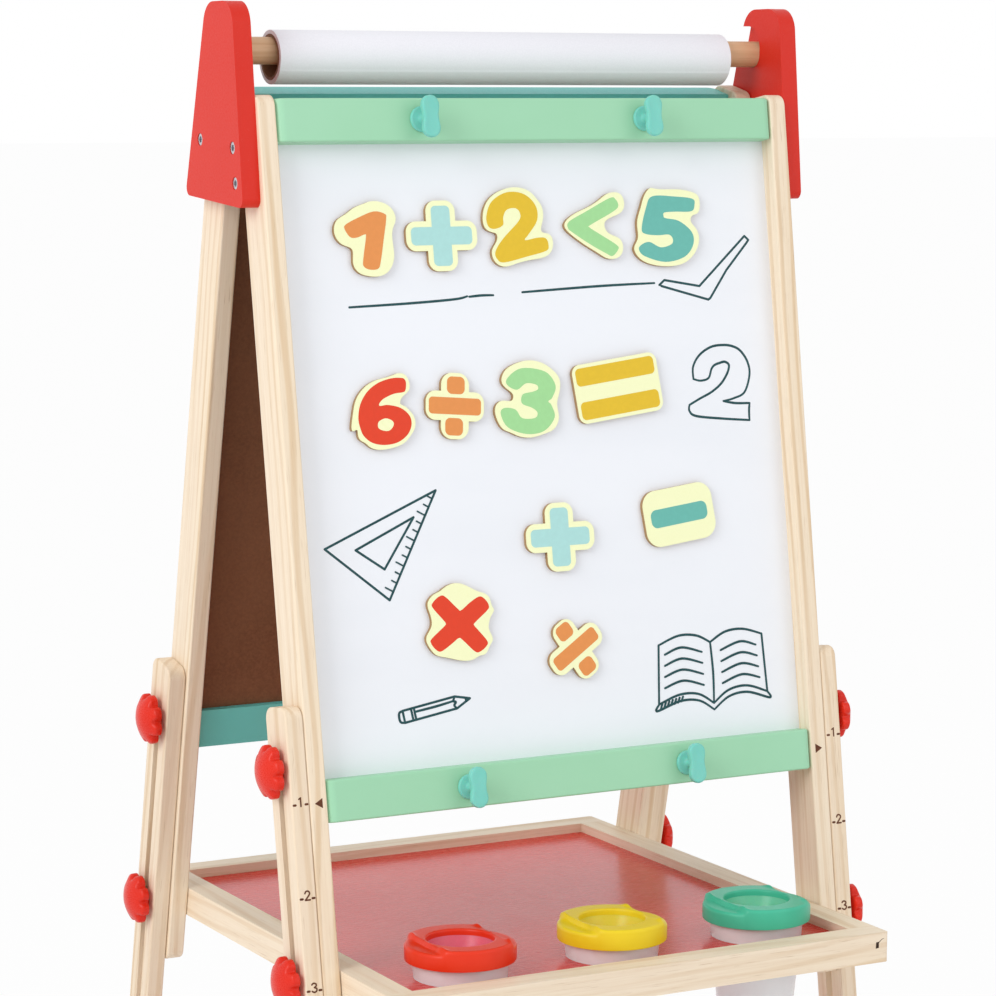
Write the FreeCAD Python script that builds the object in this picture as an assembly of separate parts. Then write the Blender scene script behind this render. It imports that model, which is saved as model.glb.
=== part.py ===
import FreeCAD
import Part
import math
import os

# Kids easel: two wooden A-frame panels hinged at the top, sliding lower legs with clamping
# knobs, a paint tray with three pots, a paper roll on a dowel and magnetic signs.
# Units are millimetres, +Z is up, the whiteboard side faces -Y and X runs to the right.

os.makedirs("parts", exist_ok=True)

V = FreeCAD.Vector

# Overall sizes
FRAME_WIDTH = 443.0          # over the outer faces of the front stiles
APEX_HEIGHT = 996.0          # floor to the top front corner of the front stiles
FRONT_LEAN = 8.63            # degrees
REAR_LEAN = 13.07            # degrees
FRAME_GAP = 44.6             # depth from the front stile face to the rear stile face at the apex

# Clearances
RUN = 0.05                   # radial running clearance of turning fits
LOOSE = 0.3                  # gap between bodies that pass each other

# Stiles and rails
STILE_T = 14.0
STILE_D = 36.0
FRONT_STILE_LEN = 682.0
REAR_STILE_LEN = 702.0
END_R = 9.0
EDGE_R = 1.5
RAIL_H = 31.0
RAIL_T = 24.0
RAIL_PROUD = 1.0
RAIL_END_R = 7.0
TOP_RAIL_S = 3.5             # from the stile top to the upper edge of the top rail
BOTTOM_RAIL_S = 489.5        # from the stile top to the upper edge of the bottom rail
BOARD_T = 3.5
BOARD_SET = 14.8             # board face behind the stile face
GROOVE = 6.0
GROOVE_SLACK = 0.5

# Lower legs
LEG_T = 14.0
LEG_D = 35.0
FRONT_LEG_TOP = 434.5
REAR_LEG_TOP = 449.0
RIGHT_FRONT_LEG_RISE = 8.3   # the right front leg stands this much further up its stile
REAR_LEG_SET = 3.0           # rear legs sit this much behind the stile face
LEG_TRAVEL = 134.0
SLOT_W = 8.2
SLOT_END_GAP = 3.0           # slot end past the clamp bolt

# Clamp bolts and knobs
BOLT_R = 3.0
FRONT_TOP_BOLT_S = 480.5
REAR_TOP_BOLT_S = 495.0
TRAY_BOLT_DROP = 629.5       # below the apex, shared by front and rear lower bolts
BOLT_IN_STILE = 7.5
BOLT_OUT = 11.5              # bolt end past the leg face
KNOB_R = 20.0
KNOB_LOBE_R = 5.6
KNOB_HUB_R = 9.0
KNOB_HUB_H = 3.5
KNOB_BODY_H = 9.0
KNOB_DOME_H = 4.5
LOBES = 8

# Side plates, outline in depth and height from the apex
PLATE_T = 14.0
PLATE_BOTTOM_FRONT = (-5.0, -80.5)
PLATE_TOP_FRONT = (9.8, 64.0)
PLATE_TOP_REAR = (56.5, 64.0)
PLATE_BOTTOM_REAR = (99.5, -73.0)
PLATE_TOP_R = 18.0
PLATE_LOW_R = 6.0
PIVOT_S = 38.0               # fold pivot, down the rear stile
PLATE_SCREW_S = (36.0, 61.0)
SCREW_HEAD_R = 4.2
SCREW_HEAD_H = 4.5
SCREW_SINK = 5.0
SCREW_R = 2.5
PIVOT_R = 3.0

# Paper roll and its dowel
DOWEL_Y = 46.6
DOWEL_Z = 29.9
DOWEL_R = 9.8
POCKET_DEPTH = 7.0
POCKET_TOP = 51.5
POCKET_RAMP = 32.0           # degrees, the dowel leaves along this slope
ROLL_LEN = 380.0
ROLL_R = 19.5
CORE_R = 16.5
CORE_BORE_R = 14.5

# Paper clips
CLIP_X = 93.5
CLIP_DISC_R = 9.3
CLIP_DISC_H = 3.0
CLIP_STEM_R = 4.0
CLIP_STEM_H = 9.5
CLIP_WING_R = 6.6
CLIP_WING_OFF = 8.4
CLIP_WING_T = 5.0
CLIP_SHANK_R = 3.0
CLIP_SHANK = 12.0

# Tray
TRAY_DROP = 620.8            # tray top below the apex
TRAY_H = 23.0
TRAY_FRONT = 187.0           # forward of the apex
TRAY_REAR = 268.0            # behind the apex
TRAY_RAIL = 22.0
PANEL_SET = 7.5
PANEL_T = 3.5
TRAY_BORE_DEPTH = 14.5
PIN_R = 1.8
PIN_LEN = 30.0

# Paint pots
POT_X = (-123.5, 3.5, 130.5)
POT_FORWARD = 120.5
POT_R_TOP = 35.6             # outer radius under the lid
POT_ABOVE = 22.0             # cup rim above the tray panel
POT_BELOW = 60.0             # cup base below the tray panel
POT_TAPER = 0.0986           # radius lost per unit of depth
POT_WALL = 1.6
LID_R = 41.0
LID_LOW = 13.0               # lid rim above the panel
LID_FLAT = 25.0
LID_BAND = 28.5
LID_BAND_HALF = 28.0
LID_WALL = 3.0
FUNNEL_R = 25.5
FUNNEL_TIP_R = 12.0
FUNNEL_DEPTH = 30.0
FUNNEL_WALL = 1.6
FUNNEL_LIP = 1.0

# Magnets
MAGNET_T = 3.5
SIGN_GAP = 0.1               # between a magnet and the board

DEPTH_FRONT = -TRAY_FRONT
INNER = FRAME_WIDTH / 2 - STILE_T
OUTER = FRAME_WIDTH / 2
REAR_OUTER = OUTER - LOOSE


def lean_rad(deg):
    return math.radians(deg)


def rear_foot_depth():
    """Depth of the rearmost foot corner from the apex."""
    b = lean_rad(REAR_LEAN)
    back = REAR_LEG_SET + LEG_D
    s = (APEX_HEIGHT + math.sin(b) * back) / math.cos(b)
    return FRAME_GAP + math.sin(b) * s + math.cos(b) * back


SHIFT = -(DEPTH_FRONT + rear_foot_depth()) / 2
APEX = V(0, SHIFT, APEX_HEIGHT)
FRONT = FreeCAD.Placement(APEX, FreeCAD.Rotation(V(1, 0, 0), -FRONT_LEAN))
REAR = FreeCAD.Placement(APEX + V(0, FRAME_GAP, 0), FreeCAD.Rotation(V(1, 0, 0), REAR_LEAN))


def box(x0, x1, y0, y1, z0, z1):
    return Part.makeBox(x1 - x0, y1 - y0, z1 - z0, V(x0, y0, z0))


def rod_x(r, x0, x1, y, z):
    return Part.makeCylinder(r, x1 - x0, V(x0, y, z), V(1, 0, 0))


def placed(shape, placement):
    out = shape.copy()
    out.Placement = placement.multiply(out.Placement)
    return out


def mirrored(shape):
    return shape.mirror(V(0, 0, 0), V(1, 0, 0))


def save(name, shape):
    shape = shape.removeSplitter() if len(shape.Solids) == 1 else shape
    shape.exportStep("parts/%s.step" % name)


def edges_where(shape, test):
    return [e for e in shape.Edges if test(e)]


def along(e, axis):
    d = e.tangentAt(e.FirstParameter)
    return abs(d.dot(axis)) > 0.999


def soften(shape, radius, test):
    picked = edges_where(shape, test)
    return shape.makeFillet(radius, picked) if picked else shape


def batten(x0, x1, y0, y1, top_s, end_s, round_end):
    """Upright timber in a leaning frame; its lower end is rounded or left square."""
    b = box(x0, x1, y0, y1, -end_s, -top_s)
    b = soften(b, END_R, lambda e: along(e, V(1, 0, 0)) and (
        abs(e.CenterOfMass.z + top_s) < 0.01 or (round_end and abs(e.CenterOfMass.z + end_s) < 0.01)))
    return soften(b, EDGE_R, lambda e: along(e, V(0, 0, 1)))


def profile_x(points, x0, x1):
    """Prism along X from (y, z) points with a corner radius each."""
    wire = Part.makePolygon([V(x0, y, z) for y, z, _ in points + points[:1]])
    solid = Part.Face(wire).extrude(V(x1 - x0, 0, 0))
    for y, z, r in points:
        if r > 0:
            solid = soften(solid, r, lambda e: along(e, V(1, 0, 0)) and math.hypot(
                e.CenterOfMass.y - y, e.CenterOfMass.z - z) < 0.01)
    return solid


def frame_point(placement, s, t):
    return placement.multVec(V(0, t, -s))


def tray_bolt_s(lean, t, sign):
    """Distance down a stile at which a bolt at depth t reaches the tray bolt height."""
    a = lean_rad(lean)
    return (TRAY_BOLT_DROP + sign * math.sin(a) * t) / math.cos(a)


BOLT_T = STILE_D / 2
REAR_BOLT_T = STILE_D / 2 + 2.0
FRONT_LOW_BOLT_S = tray_bolt_s(FRONT_LEAN, BOLT_T, -1)
REAR_LOW_BOLT_S = tray_bolt_s(REAR_LEAN, REAR_BOLT_T, 1)
PIVOT_POINT = frame_point(REAR, PIVOT_S, BOLT_T)
SCREW_POINTS = [frame_point(FRONT, s, BOLT_T) for s in PLATE_SCREW_S]


# Front and rear panels
def stile(outer, length, mirror_depth, bolt_s, low_s, bolt_t, pivot):
    """Right-hand stile in its leaning frame, with board groove and bolt holes."""
    s = batten(outer - STILE_T, outer, 0, STILE_D, 0, length, True)
    g0, g1 = board_span(mirror_depth)
    s = s.cut(box(outer - STILE_T - 1, outer - STILE_T + GROOVE, g0, g1,
                  -BOTTOM_RAIL_S - GROOVE, -TOP_RAIL_S - RAIL_H + GROOVE))
    s = s.cut(rod_x(BOLT_R, outer - BOLT_IN_STILE, outer + 1, bolt_t, -bolt_s))
    s = s.cut(rod_x(BOLT_R, outer - STILE_T - 1, outer + 1, bolt_t, -low_s))
    hole_x = outer - STILE_T + GROOVE
    if pivot:
        s = s.cut(rod_x(PIVOT_R + RUN, hole_x, outer + 1, BOLT_T, -PIVOT_S))
    else:
        for ps in PLATE_SCREW_S:
            s = s.cut(rod_x(SCREW_R, hole_x, outer + 1, BOLT_T, -ps))
    return s


def board_span(mirror_depth):
    if mirror_depth:
        return STILE_D - BOARD_SET - BOARD_T, STILE_D - BOARD_SET
    return BOARD_SET, BOARD_SET + BOARD_T


def rail(inner, top_s, groove_below, mirror_depth):
    y0, y1 = -RAIL_PROUD, RAIL_T - RAIL_PROUD
    if mirror_depth:
        y0, y1 = STILE_D - y1, STILE_D - y0
    face = y1 if mirror_depth else y0
    r = box(-inner, inner, y0, y1, -top_s - RAIL_H, -top_s)
    r = soften(r, RAIL_END_R, lambda e: along(e, V(0, 0, 1)) and abs(e.CenterOfMass.y - face) < 0.01)
    r = soften(r, EDGE_R, lambda e: along(e, V(1, 0, 0)) and abs(e.CenterOfMass.y - face) < 0.01)
    g0, g1 = board_span(mirror_depth)
    if groove_below:
        return r.cut(box(-inner - 1, inner + 1, g0, g1, -top_s - RAIL_H - 1, -top_s - RAIL_H + GROOVE))
    return r.cut(box(-inner - 1, inner + 1, g0, g1, -top_s - GROOVE, -top_s + 1))


def board(inner, mirror_depth):
    g0, g1 = board_span(mirror_depth)
    reach = GROOVE - GROOVE_SLACK
    return box(-inner - reach, inner + reach, g0, g1,
               -BOTTOM_RAIL_S - reach, -TOP_RAIL_S - RAIL_H + reach)


rear_inner = REAR_OUTER - STILE_T
front_stile = placed(stile(OUTER, FRONT_STILE_LEN, False, FRONT_TOP_BOLT_S, FRONT_LOW_BOLT_S,
                           BOLT_T, False), FRONT)
rear_stile = placed(stile(REAR_OUTER, REAR_STILE_LEN, True, REAR_TOP_BOLT_S, REAR_LOW_BOLT_S,
                          REAR_BOLT_T, True), REAR)
save("front_stile_right", front_stile)
save("front_stile_left", mirrored(front_stile))
save("rear_stile_right", rear_stile)
save("rear_stile_left", mirrored(rear_stile))
clip_hole = [Part.makeCylinder(CLIP_SHANK_R + RUN, CLIP_SHANK + LOOSE, V(x, -RAIL_PROUD, 0), V(0, 1, 0))
             for x in (-CLIP_X, CLIP_X)]
for name, s, below in (("top", TOP_RAIL_S, True), ("bottom", BOTTOM_RAIL_S, False)):
    front_rail = rail(INNER, s, below, False)
    for hole in clip_hole:
        cutter = hole.copy()
        cutter.translate(V(0, 0, -s - RAIL_H / 2))
        front_rail = front_rail.cut(cutter)
    save("front_%s_rail" % name, placed(front_rail, FRONT))
    save("rear_%s_rail" % name, placed(rail(rear_inner, s, below, True), REAR))
save("whiteboard", placed(board(INNER, False), FRONT))
save("chalkboard", placed(board(rear_inner, True), REAR))


# Side plates with the dowel pocket and the screws
def pocket():
    """Pocket for the dowel: a seat, a ramp up and out to the rear edge, and a level roof."""
    ramp = math.radians(POCKET_RAMP)
    seat = DOWEL_R + LOOSE
    low_y, low_z = DOWEL_Y + seat * math.sin(ramp), DOWEL_Z - seat * math.cos(ramp)
    far_y = low_y + (POCKET_TOP - low_z) / math.tan(ramp)
    x0, x1 = OUTER - 1, OUTER + POCKET_DEPTH
    channel = profile_x([(DOWEL_Y - seat, DOWEL_Z, 0), (low_y, low_z, 0), (far_y, POCKET_TOP, 0),
                         (DOWEL_Y - seat, POCKET_TOP, POCKET_TOP - DOWEL_Z - 4)], x0, x1)
    return channel.fuse(rod_x(seat, x0, x1, DOWEL_Y, DOWEL_Z))


def plate():
    p = profile_x([PLATE_BOTTOM_FRONT + (PLATE_LOW_R,), PLATE_TOP_FRONT + (PLATE_TOP_R,),
                   PLATE_TOP_REAR + (PLATE_TOP_R,), PLATE_BOTTOM_REAR + (PLATE_LOW_R,)],
                  OUTER, OUTER + PLATE_T)
    p = p.cut(pocket())
    p.translate(APEX)
    out = OUTER + PLATE_T
    for q in SCREW_POINTS + [PIVOT_POINT]:
        r = PIVOT_R if q is PIVOT_POINT else SCREW_R
        p = p.cut(rod_x(r, OUTER - 1, out + 1, q.y, q.z))
        p = p.cut(rod_x(SCREW_HEAD_R + LOOSE, out - SCREW_SINK, out + 1, q.y, q.z))
    return p


def screw(q):
    out = OUTER + PLATE_T - SCREW_SINK
    pivot = q is PIVOT_POINT
    tip = (REAR_OUTER if pivot else OUTER) - STILE_T + GROOVE + GROOVE_SLACK
    shank = rod_x(PIVOT_R if pivot else SCREW_R, tip, out, q.y, q.z)
    head = rod_x(SCREW_HEAD_R, out, out + SCREW_HEAD_H, q.y, q.z)
    socket = Part.makePolygon([V(out + SCREW_HEAD_H, q.y + SCREW_R * math.cos(math.radians(60 * k)),
                                 q.z + SCREW_R * math.sin(math.radians(60 * k))) for k in range(7)])
    return shank.fuse(head).cut(Part.Face(socket).extrude(V(-SCREW_HEAD_H / 2, 0, 0)))


side_plate = plate()
save("side_plate_right", side_plate)
save("side_plate_left", mirrored(side_plate))
screws = [screw(q) for q in SCREW_POINTS + [PIVOT_POINT]]
save("plate_screws", Part.makeCompound(screws + [mirrored(s) for s in screws]))


# Lower legs with one long slot each, feet cut level with the floor
def leg(placement, top_s, set_back, top_bolt, low_bolt, bolt_t, outer):
    x0, x1 = outer + LOOSE, outer + LOOSE + LEG_T
    long = batten(x0, x1, set_back, set_back + LEG_D, top_s, APEX_HEIGHT * 1.1, False)
    half = SLOT_W / 2
    hi, lo = -(top_bolt - SLOT_END_GAP), -(low_bolt + LEG_TRAVEL + SLOT_END_GAP)
    long = long.cut(box(x0 - 1, x1 + 1, bolt_t - half, bolt_t + half, lo, hi))
    long = long.cut(rod_x(half, x0 - 1, x1 + 1, bolt_t, hi)).cut(rod_x(half, x0 - 1, x1 + 1, bolt_t, lo))
    out = placed(long, placement)
    return out.cut(box(x0 - 1, x1 + 1, -APEX_HEIGHT, APEX_HEIGHT, -APEX_HEIGHT, 0))


front_leg = leg(FRONT, FRONT_LEG_TOP, 0, FRONT_TOP_BOLT_S, FRONT_LOW_BOLT_S, BOLT_T, OUTER)
tall_leg = leg(FRONT, FRONT_LEG_TOP - RIGHT_FRONT_LEG_RISE, 0, FRONT_TOP_BOLT_S, FRONT_LOW_BOLT_S,
               BOLT_T, OUTER)
rear_leg = leg(REAR, REAR_LEG_TOP, REAR_LEG_SET, REAR_TOP_BOLT_S, REAR_LOW_BOLT_S, REAR_BOLT_T,
               REAR_OUTER)
save("front_leg_left", mirrored(front_leg))
save("front_leg_right", tall_leg)
save("rear_leg_left", mirrored(rear_leg))
save("rear_leg_right", rear_leg)

# Clamp bolts and knobs
BOLTS = {
    "front_upper": (frame_point(FRONT, FRONT_TOP_BOLT_S, BOLT_T), OUTER, OUTER - BOLT_IN_STILE),
    "front_lower": (frame_point(FRONT, FRONT_LOW_BOLT_S, BOLT_T), OUTER,
                    INNER - TRAY_BORE_DEPTH + LOOSE),
    "rear_upper": (frame_point(REAR, REAR_TOP_BOLT_S, REAR_BOLT_T), REAR_OUTER,
                   REAR_OUTER - BOLT_IN_STILE),
    "rear_lower": (frame_point(REAR, REAR_LOW_BOLT_S, REAR_BOLT_T), REAR_OUTER,
                   REAR_OUTER - STILE_T + LOOSE),
}


def knob(q, outer):
    """Lobed star knob with a hub, a domed face and a blind bore."""
    face = outer + LOOSE + LEG_T + LOOSE
    hub = rod_x(KNOB_HUB_R, face, face + KNOB_HUB_H + 1, q.y, q.z)
    x0 = face + KNOB_HUB_H
    star = rod_x(KNOB_R - KNOB_LOBE_R, x0, x0 + KNOB_BODY_H, q.y, q.z)
    for k in range(LOBES):
        a = 2 * math.pi * (k + 0.5) / LOBES
        c = KNOB_R - KNOB_LOBE_R
        star = star.fuse(rod_x(KNOB_LOBE_R, x0, x0 + KNOB_BODY_H, q.y + c * math.cos(a), q.z + c * math.sin(a)))
    dome_r = KNOB_R - KNOB_LOBE_R
    rise = KNOB_DOME_H
    ball_r = (dome_r ** 2 + rise ** 2) / (2 * rise)
    ball = Part.makeSphere(ball_r, V(x0 + KNOB_BODY_H + rise - ball_r, q.y, q.z))
    dome = ball.common(rod_x(dome_r, x0 + KNOB_BODY_H - 1, x0 + KNOB_BODY_H + rise + 1, q.y, q.z))
    bore = rod_x(BOLT_R + RUN, face - 1, outer + LOOSE + LEG_T + BOLT_OUT + LOOSE, q.y, q.z)
    return hub.fuse([star, dome]).cut(bore)


bolt_sets = {"front": [], "rear": []}
for key, (q, outer, inner_end) in BOLTS.items():
    side, level = key.split("_")
    bolt = rod_x(BOLT_R, inner_end, outer + LOOSE + LEG_T + BOLT_OUT, q.y, q.z)
    bolt_sets[side] += [bolt, mirrored(bolt)]
    k = knob(q, outer)
    save("%s_knob_%s_right" % (side, level), k)
    save("%s_knob_%s_left" % (side, level), mirrored(k))
for side, bolts in bolt_sets.items():
    save("%s_bolts" % side, Part.makeCompound(bolts))

# Paper roll on its dowel
dowel_len = 2 * (OUTER + POCKET_DEPTH - LOOSE)
dy, dz = SHIFT + DOWEL_Y, APEX_HEIGHT + DOWEL_Z
dowel = rod_x(DOWEL_R, -dowel_len / 2, dowel_len / 2, dy, dz)
save("roller_dowel", dowel.makeFillet(1.0, edges_where(dowel, lambda e: e.Closed)))
rz = dz - (CORE_BORE_R - DOWEL_R - LOOSE)
core = rod_x(CORE_R, -ROLL_LEN / 2, ROLL_LEN / 2, dy, rz)
save("roll_core", core.cut(rod_x(CORE_BORE_R, -ROLL_LEN / 2 - 1, ROLL_LEN / 2 + 1, dy, rz)))
paper = rod_x(ROLL_R, -ROLL_LEN / 2, ROLL_LEN / 2, dy, rz)
save("roll_paper", paper.cut(rod_x(CORE_R, -ROLL_LEN / 2 - 1, ROLL_LEN / 2 + 1, dy, rz)))


# Paper clips on the front rails
def clip(x, s):
    z = -s - RAIL_H / 2
    y0 = -RAIL_PROUD - LOOSE
    y1 = y0 - CLIP_DISC_H
    y2 = y1 - CLIP_STEM_H
    out = Part.makeCylinder(CLIP_SHANK_R, CLIP_SHANK + LOOSE, V(x, y0 - 0.5, z), V(0, 1, 0))
    parts = [Part.makeCylinder(CLIP_DISC_R, CLIP_DISC_H, V(x, y1, z), V(0, 1, 0)),
             Part.makeCylinder(CLIP_STEM_R, CLIP_STEM_H + 1, V(x, y2 - 0.5, z), V(0, 1, 0))]
    for k in (-1, 1):
        parts.append(Part.makeCylinder(CLIP_WING_R, CLIP_WING_T, V(x, y2 - CLIP_WING_T, z + k * CLIP_WING_OFF),
                                       V(0, 1, 0)))
    waist = CLIP_WING_R * 0.9
    parts.append(box(x - waist, x + waist, y2 - CLIP_WING_T, y2, z - CLIP_WING_OFF, z + CLIP_WING_OFF))
    return placed(out.fuse(parts), FRONT)


for row, s in (("top", TOP_RAIL_S), ("bottom", BOTTOM_RAIL_S)):
    for side, x in (("left", -CLIP_X), ("right", CLIP_X)):
        save("clip_%s_%s" % (row, side), clip(x, s))

# Tray: four rails with a grooved-in panel, set level between the stiles
tray_x = rear_inner - LOOSE
ty0, ty1 = SHIFT - TRAY_FRONT, SHIFT + TRAY_REAR
tz1 = APEX_HEIGHT - TRAY_DROP
tz0 = tz1 - TRAY_H
pz1 = tz1 - PANEL_SET
pz0 = pz1 - PANEL_T
px = tray_x - TRAY_RAIL + GROOVE
py0, py1 = ty0 + TRAY_RAIL - GROOVE, ty1 - TRAY_RAIL + GROOVE
panel_room = box(-px - GROOVE_SLACK, px + GROOVE_SLACK, py0 - GROOVE_SLACK, py1 + GROOVE_SLACK, pz0, pz1)
panel = box(-px, px, py0, py1, pz0, pz1)


def pin_set():
    """Headless pins that hold the end rails to the ends of the side rails."""
    out = []
    for x in (-tray_x + TRAY_RAIL / 2, tray_x - TRAY_RAIL / 2):
        for y, d in ((ty0 + 1, 1), (ty1 - 1, -1)):
            out.append(Part.makeCylinder(PIN_R, PIN_LEN, V(x, y, tz0 + TRAY_H * 0.6), V(0, d, 0)))
    return out


pins = pin_set()
front_low, rear_low = BOLTS["front_lower"][0], BOLTS["rear_lower"][0]
front_rail_solid = soften(box(-tray_x, tray_x, ty0, ty0 + TRAY_RAIL, tz0, tz1), 2 * EDGE_R,
                          lambda e: along(e, V(0, 0, 1)) and abs(e.CenterOfMass.y - ty0) < 0.01)
rear_rail_solid = soften(box(-tray_x, tray_x, ty1 - TRAY_RAIL, ty1, tz0, tz1), 2 * EDGE_R,
                         lambda e: along(e, V(0, 0, 1)) and abs(e.CenterOfMass.y - ty1) < 0.01)
side_solid = box(tray_x - TRAY_RAIL, tray_x, ty0 + TRAY_RAIL, ty1 - TRAY_RAIL, tz0, tz1)
bore_x = INNER - TRAY_BORE_DEPTH
side_solid = side_solid.cut(rod_x(BOLT_R + RUN, bore_x, tray_x + 1, front_low.y, front_low.z))
side_solid = side_solid.cut(rod_x(BOLT_R, bore_x, tray_x + 1, rear_low.y, rear_low.z))
for name, solid in (("front", front_rail_solid), ("rear", rear_rail_solid), ("right", side_solid),
                    ("left", mirrored(side_solid))):
    save("tray_%s_rail" % name, solid.cut(panel_room).cut(Part.makeCompound(pins)))


def pot_radius(h):
    """Outer radius of a cup at height h above the tray panel."""
    return POT_R_TOP - (LID_LOW - h) * POT_TAPER


pot_y = SHIFT - POT_FORWARD
for x in POT_X:
    panel = panel.cut(Part.makeCylinder(pot_radius(0) + LOOSE, PANEL_T + 2, V(x, pot_y, pz0 - 1)))
save("tray_panel", panel)
save("tray_pins", Part.makeCompound(pins))
stub = rod_x(BOLT_R, bore_x, tray_x, rear_low.y, rear_low.z)
save("tray_bolt_stubs", Part.makeCompound([stub, mirrored(stub)]))


# Paint pots: tapered cups through the panel holes, each with a non-spill lid
def revolve(x, points):
    wire = Part.makePolygon([V(x + r, pot_y, pz1 + h) for r, h in points + points[:1]])
    return Part.Face(wire).revolve(V(x, pot_y, 0), V(0, 0, 1), 360)


def cup(x):
    top, base = POT_ABOVE, -POT_BELOW
    return revolve(x, [(0, base), (pot_radius(base), base), (pot_radius(top), top),
                       (pot_radius(top) - POT_WALL, top), (pot_radius(base) - POT_WALL, base + 2 * POT_WALL),
                       (0, base + 2 * POT_WALL)])


def lid(x):
    inner = pot_radius(POT_ABOVE) + LOOSE
    skin = LID_FLAT - LOOSE
    cap = revolve(x, [(inner, LID_LOW), (LID_R - 1, LID_LOW), (LID_R, LID_LOW + 1), (LID_R, skin - 1),
                      (LID_R - 1, LID_FLAT), (FUNNEL_R, LID_FLAT), (FUNNEL_R, POT_ABOVE + LOOSE),
                      (inner, POT_ABOVE + LOOSE)])
    band = Part.makeCylinder(LID_R - LID_WALL / 2, LID_BAND - LID_FLAT + 1, V(x, pot_y, pz1 + LID_FLAT - 1))
    band = band.common(box(x - LID_BAND_HALF, x + LID_BAND_HALF, pot_y - LID_R, pot_y + LID_R,
                           pz1 + LID_FLAT - 1, pz1 + LID_BAND))
    band = band.cut(Part.makeCylinder(FUNNEL_R, LID_BAND, V(x, pot_y, pz1 + LID_FLAT - 2)))
    tip = LID_BAND - FUNNEL_DEPTH
    funnel = revolve(x, [(FUNNEL_R + FUNNEL_LIP, LID_BAND), (FUNNEL_R + FUNNEL_LIP, POT_ABOVE + LOOSE),
                         (FUNNEL_R, POT_ABOVE - FUNNEL_LIP),
                         (FUNNEL_TIP_R, tip), (FUNNEL_TIP_R - FUNNEL_WALL, tip),
                         (FUNNEL_R - FUNNEL_WALL, POT_ABOVE), (FUNNEL_R - FUNNEL_WALL, LID_BAND)])
    return cap.fuse([band, funnel])


for name, x in zip(("red", "yellow", "green"), POT_X):
    save("pot_cup_%s" % name, cup(x))
    save("pot_lid_%s" % name, lid(x))

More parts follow.
